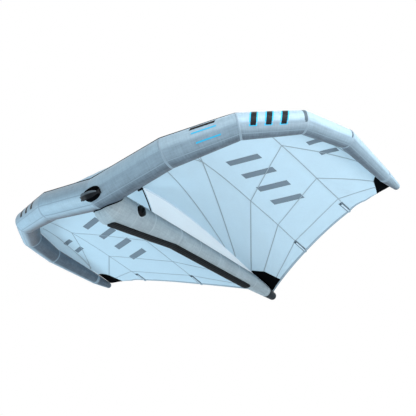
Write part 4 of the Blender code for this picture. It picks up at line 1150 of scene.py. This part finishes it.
web_share = np.linspace(0.0, 1.0, 120)[:, None]
web_rise = np.linspace(0.0, 1.0, 24)[None, :]
web_middle = web_point(web_share, web_rise)
web_points, web_faces = cloth_slab(web_middle + (web_wall / 2, 0, 0),
                                   web_middle - (web_wall / 2, 0, 0))
make_piece("web_cloth", web_points, web_faces, web_cloth, ["web_panel"], web_points[:, 1:])
for tape_name, low, high in (("foot", 0.0, 0.085), ("head", 0.93, 1.0)):
    tape_rise = np.linspace(low, high, 4)[None, :]
    tape_middle = web_point(web_share * 0.9 + 0.02, tape_rise)
    tape_points, tape_faces = cloth_slab(tape_middle + (web_wall / 2 + 0.0008, 0, 0),
                                         tape_middle - (web_wall / 2 + 0.0008, 0, 0))
    make_piece("web_%s_tape" % tape_name, tape_points, tape_faces, web_tape_cloth,
               uv=tape_points[:, 1:])
hem_rise = np.linspace(0.02, 0.98, 40)[None, :]
hem_run = np.linspace(0.0, 0.011, 5)[:, None]
hem_middle = web_point(hem_run, hem_rise)
points, faces = cloth_slab(hem_middle + (web_wall / 2 + 0.0009, 0, 0),
                           hem_middle - (web_wall / 2 + 0.0009, 0, 0))
make_piece("web_front_hem", points, faces, pocket_cloth, uv=points[:, 1:])
web_edge = web_point(np.zeros(40), np.linspace(0.03, 0.97, 40)) - (0, 0.003, 0)
bead("web_edge_binding", web_edge, 0.0052, patch_cloth, ["web_front_binding"],
     guide=(1.0, 0.0, 0.0))
block_path = web_point(np.zeros(6), np.full(6, 0.97)) - np.linspace(
    [0, 0.036, 0.044], [0, 0.0, 0.006], 6)
bead("web_head_block", block_path, 0.011, patch_cloth,
     guide=(1.0, 0.0, 0.0))


# Grip rail. A moulded foam rubber strip with five ribs is bonded along the strut's belly,
# from the nose to the tail.

rail_start = 0.158
rail_end = 2.056
rail_thickness = 0.012
rail_rib = 0.0125
rail_groove = 0.0055
rail_groove_depth = 0.004
rail_ribs = 5
rail_width = rail_ribs * rail_rib + (rail_ribs - 1) * rail_groove

rail_foam, nodes, links, shader = new_material("black_ribbed_foam", (0.006, 0.008, 0.010), 0.6)
shader.inputs["Specular IOR Level"].default_value = 0.10
grain = add_node(rail_foam.node_tree, "ShaderNodeTexNoise", Scale=420.0, Detail=3.0)
object_place = nodes.new("ShaderNodeTexCoord")
links.new(object_place.outputs["Object"], grain.inputs["Vector"])
relief = add_node(rail_foam.node_tree, "ShaderNodeBump", Strength=0.35, Distance=0.0005)
links.new(grain.outputs["Fac"], relief.inputs["Height"])
links.new(relief.outputs["Normal"], shader.inputs["Normal"])
scuff = add_node(rail_foam.node_tree, "ShaderNodeTexNoise", Scale=26.0, Detail=5.0)
links.new(object_place.outputs["Object"], scuff.inputs["Vector"])
scuff_tone = add_node(rail_foam.node_tree, "ShaderNodeValToRGB")
scuff_tone.color_ramp.elements[0].color = (0.0030, 0.0045, 0.0060, 1)
scuff_tone.color_ramp.elements[1].color = (0.0210, 0.0300, 0.0380, 1)
links.new(scuff.outputs["Fac"], scuff_tone.inputs["Fac"])
# The rib tops take the mottled scuffed colour, while the grooves and the outer edges are painted
# near black as shade.
rib_top = add_node(rail_foam.node_tree, "ShaderNodeAttribute", attribute_name="painted_light_and_shade")
painted_groove_shade = add_node(rail_foam.node_tree, "ShaderNodeMix", data_type="RGBA")
painted_groove_shade.inputs[6].default_value = (0.0012, 0.0016, 0.0020, 1)
links.new(rib_top.outputs["Fac"], painted_groove_shade.inputs["Factor"])
links.new(scuff_tone.outputs["Color"], painted_groove_shade.inputs[7])
links.new(painted_groove_shade.outputs[2], shader.inputs["Base Color"])

rail_aft = np.concatenate([rail_start + 0.030 * (1 - np.cos(np.linspace(0, math.pi / 2, 14))),
                           np.linspace(rail_start + 0.034, rail_end - 0.034, 150),
                           rail_end - 0.030 * (1 - np.cos(np.linspace(math.pi / 2, 0, 14)))])
end_distance = np.minimum(rail_aft - rail_start, rail_end - rail_aft)
end_round = np.sqrt(np.clip(1 - (1 - np.clip(end_distance / 0.030, 0, 1))**2, 0.02, 1))
rail_half = rail_width / 2 * (0.35 + 0.65 * end_round)
rail_height = rail_thickness * (0.4 + 0.6 * end_round)
across = np.linspace(-1.0, 1.0, 91)
pitch = (rail_rib + rail_groove) / (rail_width / 2)
groove_at = (across / pitch) % 1.0 - 0.5
groove_share = np.exp(-(groove_at / 0.17)**6)
edge_round = np.sqrt(np.clip(1 - ((np.abs(across) - 0.93) / 0.07).clip(0, 1)**2, 0, 1))
lower_height = (rail_height[:, None] * (0.25 + 0.75 * edge_round)
                - rail_groove_depth * groove_share * end_round[:, None])
lower = strut_point(rail_aft[:, None], -math.pi / 2 + across * rail_half[:, None]
                    / strut_reach(rail_aft)[:, None], lower_height)
upper = strut_point(rail_aft[:, None], -math.pi / 2 + across[::-15] * rail_half[:, None]
                    / strut_reach(rail_aft)[:, None], -0.001)
rail_rings = np.concatenate([lower, upper], axis=1)
rail_rings = np.concatenate([rail_rings, rail_rings[:, -1:]], axis=1)
rail_points, rail_faces = capped_rings(rail_rings)
rib_tops = np.zeros(rail_rings.shape[:2])
rib_tops[:, :len(across)] = np.exp(-((0.5 - np.abs(groove_at)) / 0.22)**4) * (np.abs(across) < 0.9)
make_piece("ribbed_grip_rail", rail_points, rail_faces, rail_foam, ["grip_rail"],
           painted_light_and_shade=np.append(rib_tops.ravel(), [0.0, 0.0]))


# Inflation valve. A moulded flange is bonded into the strut's right side, with a cap that
# turns on its seat and has a notched rim and a bar for the fingers.

valve_plastic, nodes, links, shader = new_material("black_valve_nylon",
                                                   (0.0018, 0.0024, 0.0034), 0.33)
shader.inputs["Specular IOR Level"].default_value = 0.10
spark = add_node(valve_plastic.node_tree, "ShaderNodeTexNoise", Scale=300.0, Detail=2.0)
object_place = nodes.new("ShaderNodeTexCoord")
links.new(object_place.outputs["Object"], spark.inputs["Vector"])
relief = add_node(valve_plastic.node_tree, "ShaderNodeBump", Strength=0.15, Distance=0.0004)
links.new(spark.outputs["Fac"], relief.inputs["Height"])
links.new(relief.outputs["Normal"], shader.inputs["Normal"])
spark_range = add_node(valve_plastic.node_tree, "ShaderNodeMapRange")
spark_range.inputs["To Min"].default_value = 0.28
spark_range.inputs["To Max"].default_value = 0.42
links.new(spark.outputs["Fac"], spark_range.inputs["Value"])
links.new(spark_range.outputs[0], shader.inputs["Roughness"])

cap_low, cap_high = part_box("valve_cap")
valve_middle = (np.array(cap_low) + np.array(cap_high)) / 2
plug_depth = 0.012
valve_face = cap_low[0] + plug_depth - 0.0003


def turned_piece(name, profile, material, node_names=(), body="wing", around=96,
                 rim_wave=0.0):
    """A profile of radius and height turned about the valve's own axis, which runs to
    the right. The rim can be waved by a cosine of 24 turns."""
    profile = np.asarray(profile)
    turns = np.arange(around) * 2 * math.pi / around
    wave = 1 + rim_wave * np.cos(24 * turns)[None, :] * (profile[:, :1] > 0.03)
    reach = profile[:, :1] * wave
    rings = np.stack(np.broadcast_arrays(valve_face + profile[:, 1:],
                                         valve_middle[1] + reach * np.cos(turns),
                                         valve_middle[2] + reach * np.sin(turns)), axis=-1)
    points, faces = capped_rings(rings)
    return make_piece(name, points, faces, material, node_names, body=body)


def rounded_profile(corners, radius, steps=5):
    """A profile whose inner corners are rounded by short curves of the second degree."""
    corners = np.array(corners, dtype=float)
    rounded = [corners[:1]]
    share = np.linspace(0, 1, steps)[:, None]
    for before, corner, after in zip(corners[:-2], corners[1:-1], corners[2:]):
        back = corner + unit(before - corner) * min(radius, np.linalg.norm(before - corner) / 2)
        ahead = corner + unit(after - corner) * min(radius, np.linalg.norm(after - corner) / 2)
        rounded.append((1 - share)**2 * back + 2 * share * (1 - share) * corner
                       + share**2 * ahead)
    rounded.append(corners[-1:])
    return np.concatenate(rounded)


turned_piece("valve_cap_moulding", rounded_profile(
    [(0.0005, 0.0125), (0.031, 0.0125), (0.043, 0.0073), (0.043, 0.0004), (0.0235, 0.0004),
     (0.0235, -0.0118), (0.0005, -0.0118)], 0.0016), valve_plastic, ["valve_cap"],
    "valve_cap", rim_wave=0.010)
bar_along = np.linspace(-1, 1, 40)[:, None]
bar_turn = (np.arange(24) * 2 * math.pi / 24)[None, :]
bar_fill = np.clip(1 - np.abs(bar_along)**6, 0.02, 1)**0.5
bar_square = np.sign(np.cos(bar_turn)) * np.abs(np.cos(bar_turn))**0.5
bar_tall = np.sign(np.sin(bar_turn)) * np.abs(np.sin(bar_turn))**0.5
bar_rings = np.stack(np.broadcast_arrays(
    valve_face + 0.0140 + 0.0060 * bar_tall * bar_fill,
    valve_middle[1] + 0.0055 * bar_square * bar_fill * (1 - 0.25 * (1 - bar_along**2)),
    valve_middle[2] + 0.028 * bar_along), axis=-1)
bar_points, bar_faces = capped_rings(bar_rings)
make_piece("valve_cap_bar", bar_points, bar_faces, valve_plastic, body="valve_cap")
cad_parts["valve_base"].data.materials.clear()
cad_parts["valve_base"].data.materials.append(valve_plastic)

weld_ring = cloth_material("valve_weld_ring", (0.34, 0.44, 0.51), contrast=0.1, use_uv=False,
                           specular=0.3)
collar_angle = np.arange(96) * 2 * math.pi / 96
collar_rings = []
for reach, lift in ((0.0488, 0.0005), (0.0510, 0.0026), (0.0540, 0.0022), (0.0560, -0.0005),
                    (0.0540, -0.010), (0.0495, -0.010)):
    height = tube_middle[2] - 0.020 + reach * np.sin(collar_angle)
    aft = 0.363 + reach * np.cos(collar_angle)
    local = np.interp(aft, strut_stations, strut_heights) + tube_middle[2]
    out = np.sqrt(np.maximum((strut_reach(aft) + lift)**2 - (height - local)**2, 0))
    collar_rings.append(np.stack([out, tube_middle[1] + aft, height], axis=-1))
collar_rings = np.stack(collar_rings)
make_piece("valve_weld_ring", collar_rings, grid_faces(6, 96, True, True), weld_ring)


# Front handle. A padded grip arches over a black patch on the leading edge, and webbing
# at its ends is sewn down on the patch.

handle_angle = math.radians(14.5 * 15)
handle_out = np.array([0.0, math.cos(handle_angle), math.sin(handle_angle)])
handle_across = np.array([0.0, -handle_out[2], handle_out[1]])
handle_half_length = 0.085
handle_side_shift = 0.012
patch_thickness = 0.0028
tube_facet = math.cos(math.pi / 24)


def handle_base(span):
    """Distance of the patch from the middle of the tube, along the handle's line."""
    share = abs(span) / (bend_points[1, 0])
    middle = share * (bend_points[1] - tube_middle)
    reach = (1 - share) * bend_radii[0] + share * bend_radii[1]
    return middle @ handle_out + (reach + patch_thickness) * tube_facet


axis_distance = max(handle_base(handle_side_shift + handle_half_length),
                    handle_base(handle_side_shift - handle_half_length)) + 0.012
arch_distance = handle_base(0.0) + 0.032 + 0.007


def grip_point(share, turn, half_width_extra=0.0, thickness_extra=0.0):
    """A flat oval section carried over an arch: its height falls with the square of the
    share of the half length and its width with the fourth power."""
    full = 1 - share**2
    broad = 1 - share**4
    width = 0.012 + broad * (0.029 - 0.012) + half_width_extra
    thick = 0.006 + full * (0.007 - 0.006) + thickness_extra
    aside = width * np.sign(np.cos(turn)) * np.abs(np.cos(turn))**0.75
    lift = thick * np.sign(np.sin(turn)) * np.abs(np.sin(turn))**0.75
    distance = axis_distance + full * (arch_distance - axis_distance) + lift
    span = handle_side_shift + share * handle_half_length
    return (tube_middle + span[..., None] * np.array([1.0, 0.0, 0.0])
            + distance[..., None] * handle_out + aside[..., None] * handle_across)


grip_share = np.sin(np.linspace(-math.pi / 2, math.pi / 2, 80))[:, None]
grip_turn = (np.arange(64) * 2 * math.pi / 64)[None, :]
groove_wave = -0.0007 * (0.5 + 0.5 * np.cos(grip_share * handle_half_length * 2 * math.pi
                                            / 0.011))**4 * (np.abs(grip_share) < 0.86)
grip_share_grid, grip_turn_grid, groove_grid = np.broadcast_arrays(grip_share, grip_turn,
                                                                   groove_wave)
grip_rings = grip_point(grip_share_grid, grip_turn_grid, 0.0, groove_grid)
grip_points, grip_faces = capped_rings(grip_rings)
# The grip's neoprene is black, and its upper side is painted grey as a highlight by the change
# below.
grip_skin = cloth_material("black_grip_neoprene_painted_highlight", (0.0045, 0.0060, 0.0080), contrast=0.8,
                           streak_length=200.0, use_uv=False, specular=0.08,
                           painted_light_change=(0.065, 0.085, 0.100))
grip_painted_highlight = np.clip((-np.cos(grip_turn_grid) - 0.1) / 0.3, 0, 1)
grip_painted_highlight = np.concatenate([grip_painted_highlight.ravel(), [0.0, 0.0]])
front_grip = make_piece("front_handle_padding", grip_points, grip_faces, grip_skin,
                        ["front_handle_grip"], body="front_handle",
                        painted_light_and_shade=grip_painted_highlight)

welt_share = np.linspace(-0.93, 0.93, 70)
for edge, edge_name in ((1, "upper"), (-1, "lower")):
    welt_turn = np.full(70, 0.0 if edge > 0 else math.pi)
    bead("front_handle_welt_" + edge_name, grip_point(welt_share, welt_turn, 0.0005),
         0.0017, patch_cloth, body="front_handle",
         guide=tuple(handle_across), sides=12)

patch_half_length = 0.084
patch_half_angle = math.radians(23.5)
patch_middle = 0.032
patch_share = np.linspace(-0.997, 0.997, 70)[:, None]
patch_side = np.linspace(-1.0, 1.0, 44)[None, :]
oval_width = (1 - np.abs(patch_share)**2.3)**0.5
span_a_bend = bend_points[1, 0]
patch_bends = (patch_middle + patch_half_length * patch_share) / span_a_bend
patch_angles = handle_angle + math.radians(1.5) + patch_half_angle * patch_side * oval_width
patch_near = sleeve_point(patch_bends, patch_angles, 0.0002)
patch_far = sleeve_point(patch_bends, patch_angles, patch_thickness - 0.0004)
patch_points, patch_faces = cloth_slab(patch_near, patch_far)
patch_uv = np.stack(np.broadcast_arrays(patch_bends * 0.7, patch_angles * tube_radius), -1)
patch_uv = np.concatenate([patch_uv.reshape(-1, 2)] * 2)
make_piece("front_handle_patch_cloth", patch_points, patch_faces, patch_cloth,
           ["front_handle_patch"], patch_uv)

webbing_cloth = cloth_material("black_webbing", (0.0050, 0.0065, 0.0085), contrast=0.6,
                               streak_length=300.0, thread=520.0, bump=0.5, specular=0.1)
for side, side_name in side_names.items():
    run = np.linspace(0.0, 1.0, 24)
    ease = run**2 * (3 - 2 * run)
    near_span = handle_side_shift + side * (handle_half_length - 0.004)
    far_span = handle_side_shift + side * (handle_half_length + 0.0243)
    spans = near_span + run * (far_span - near_span)
    foot = handle_base(far_span) + 0.0006
    lift = axis_distance + ease * (foot + 0.0015 - axis_distance)
    width = 0.0105 + ease * (0.0075 - 0.0105)
    thick = 0.004 + ease * (0.0022 - 0.004)
    turn = (np.arange(32) * 2 * math.pi / 32)[None, :]
    straps = []
    for spread in (-1, 1):
        aside = (width[:, None] * np.sign(np.cos(turn)) * np.abs(np.cos(turn))**0.4
                 + spread * 0.0125 * ease[:, None])
        rise = thick[:, None] * np.sign(np.sin(turn)) * np.abs(np.sin(turn))**0.4
        rings = (tube_middle + spans[:, None, None] * np.array([1.0, 0.0, 0.0])
                 + (lift[:, None] + rise)[..., None] * handle_out
                 + aside[..., None] * handle_across)
        straps.append(capped_rings(rings))
    points, faces = joined(straps)
    make_piece("front_handle_webbing_" + side_name, points, faces, webbing_cloth,
               ["front_handle_anchor_" + side_name], points[:, :2])


# Plain marks. Slanted bars are printed on the canopy and on the sleeves, where a maker
# would print words. They only say nothing, and follow the cloth.

canopy_ink = cloth_material("grey_canopy_ink", (0.150, 0.205, 0.255), contrast=0.08,
                            specular=0.1)
black_ink = cloth_material("black_sleeve_ink", (0.0035, 0.0045, 0.0060), contrast=0.4,
                           specular=0.1)
cyan_ink = cloth_material("cyan_sleeve_ink", (0.035, 0.36, 0.60), contrast=0.1, specular=0.1)
canopy_bars = ((0.90, 0.72, 0.13, 0.036), (0.90, 0.94, 0.13, 0.036), (0.90, 1.16, 0.13, 0.036),
               (0.90, 1.38, 0.13, 0.036), (1.470, 0.93, 0.07, 0.026),
               (1.485, 1.10, 0.07, 0.026))


def bar_corners(side, span, aft, half_length, half_width):
    """Bends and shares of a slanted bar in plan: its long way runs along the span and
    leans aft by a third of the bar's length."""
    long_way = np.linspace(-1, 1, 16)[:, None]
    short_way = np.linspace(-1, 1, 7)[None, :]
    place_span = span + half_length * long_way + 0 * short_way
    place_aft = aft + half_width * short_way + half_length * long_way / 3
    bend, share = canopy_share(place_span, place_aft)
    return side * bend, share


for side, side_name in side_names.items():
    shapes = []
    for span, aft, half_length, half_width in canopy_bars:
        bend, share = bar_corners(side, span, aft, half_length, half_width)
        shapes.append(cloth_slab(
            under_canopy(bend, share, np.full(bend.shape, canopy_wall - 0.0004)),
            under_canopy(bend, share, np.full(bend.shape, canopy_wall + 0.0003))))
    points, faces = joined(shapes)
    make_piece("canopy_bars_" + side_name, points, faces, canopy_ink, uv=points[:, :2])


def sleeve_bar(side, first, last, low_angle, high_angle, lean, height):
    """A bar on the sleeve between two bends and two angles, leaning along the span as
    it goes down, and standing off the cloth by a height."""
    down = np.linspace(0, 1, 24)[:, None]
    along = np.linspace(0, 1, 9)[None, :]
    bend = first + (last - first) * along + lean * down
    angle = np.radians(low_angle + (high_angle - low_angle) * down) + 0 * along
    number = int(first)
    relief = panel_relief(number, bend - number, angle)
    return cloth_slab(sleeve_point(side * bend, angle, relief + height),
                      sleeve_point(side * bend, angle, relief - 0.001))


for side, side_name in side_names.items():
    inner_bars = []
    outer_bars = []
    for first, last in ((2.24, 2.32), (2.46, 2.54), (2.68, 2.76)):
        inner_bars.append(sleeve_bar(side, first, last, 118, 218, -0.08, 0.0013))
        outer_bars.append(sleeve_bar(side, first - 0.018, last + 0.018, 116, 221.5, -0.083,
                                     0.0008))
    if side < 0:
        for first, last in ((1.30, 1.37), (1.52, 1.59), (1.74, 1.81)):
            inner_bars.append(sleeve_bar(side, first, last, 130, 195, -0.05, 0.0013))
    else:
        inner_bars.append(sleeve_bar(side, 1.42, 1.74, 150, 166, -0.02, 0.0013))
        outer_bars.append(sleeve_bar(side, 1.42, 1.74, 182, 188, -0.01, 0.0013))
        outer_bars.append(sleeve_bar(side, 1.45, 1.77, 222, 228, -0.01, 0.0013))
    points, faces = joined(inner_bars)
    make_piece("sleeve_bars_" + side_name, points, faces, black_ink, uv=points[:, :2])
    points, faces = joined(outer_bars)
    make_piece("sleeve_bar_edges_" + side_name, points, faces, cyan_ink, uv=points[:, :2])


# Pieces that stay as the CAD has them: the bladders and the air tube are clear film and
# the battens are pultruded glass fibre. They only need their finish.

film, nodes, links, shader = new_material("milky_bladder_film", (0.72, 0.76, 0.79), 0.3)
cloud = add_node(film.node_tree, "ShaderNodeTexNoise", Scale=14.0, Detail=3.0)
object_place = nodes.new("ShaderNodeTexCoord")
links.new(object_place.outputs["Object"], cloud.inputs["Vector"])
cloud_range = add_node(film.node_tree, "ShaderNodeMapRange")
cloud_range.inputs["To Min"].default_value = 0.22
cloud_range.inputs["To Max"].default_value = 0.4
links.new(cloud.outputs["Fac"], cloud_range.inputs["Value"])
links.new(cloud_range.outputs[0], shader.inputs["Roughness"])

batten_rod, nodes, links, shader = new_material("pale_glass_fibre", (0.74, 0.77, 0.74), 0.3)
fibre = add_node(batten_rod.node_tree, "ShaderNodeTexNoise", Scale=1.0, Detail=4.0)
object_place = nodes.new("ShaderNodeTexCoord")
fibre_place = add_node(batten_rod.node_tree, "ShaderNodeMapping")
fibre_place.inputs["Scale"].default_value = (900.0, 9.0, 900.0)
links.new(object_place.outputs["Object"], fibre_place.inputs["Vector"])
links.new(fibre_place.outputs[0], fibre.inputs["Vector"])
fibre_tone = add_node(batten_rod.node_tree, "ShaderNodeValToRGB")
fibre_tone.color_ramp.elements[0].color = (0.60, 0.64, 0.60, 1)
fibre_tone.color_ramp.elements[1].color = (0.84, 0.86, 0.83, 1)
links.new(fibre.outputs["Fac"], fibre_tone.inputs["Fac"])
links.new(fibre_tone.outputs["Color"], shader.inputs["Base Color"])

node_finish = {"leading_edge_bladder": film, "strut_bladder": film, "one_pump_air_tube": film,
               "valve_flap": film}
for place in ("inner", "outer"):
    for side_name in ("left", "right"):
        node_finish["batten_%s_%s" % (place, side_name)] = batten_rod
for node_name, finish in node_finish.items():
    node_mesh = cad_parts[node_name].data
    node_mesh.materials.clear()
    node_mesh.materials.append(finish)
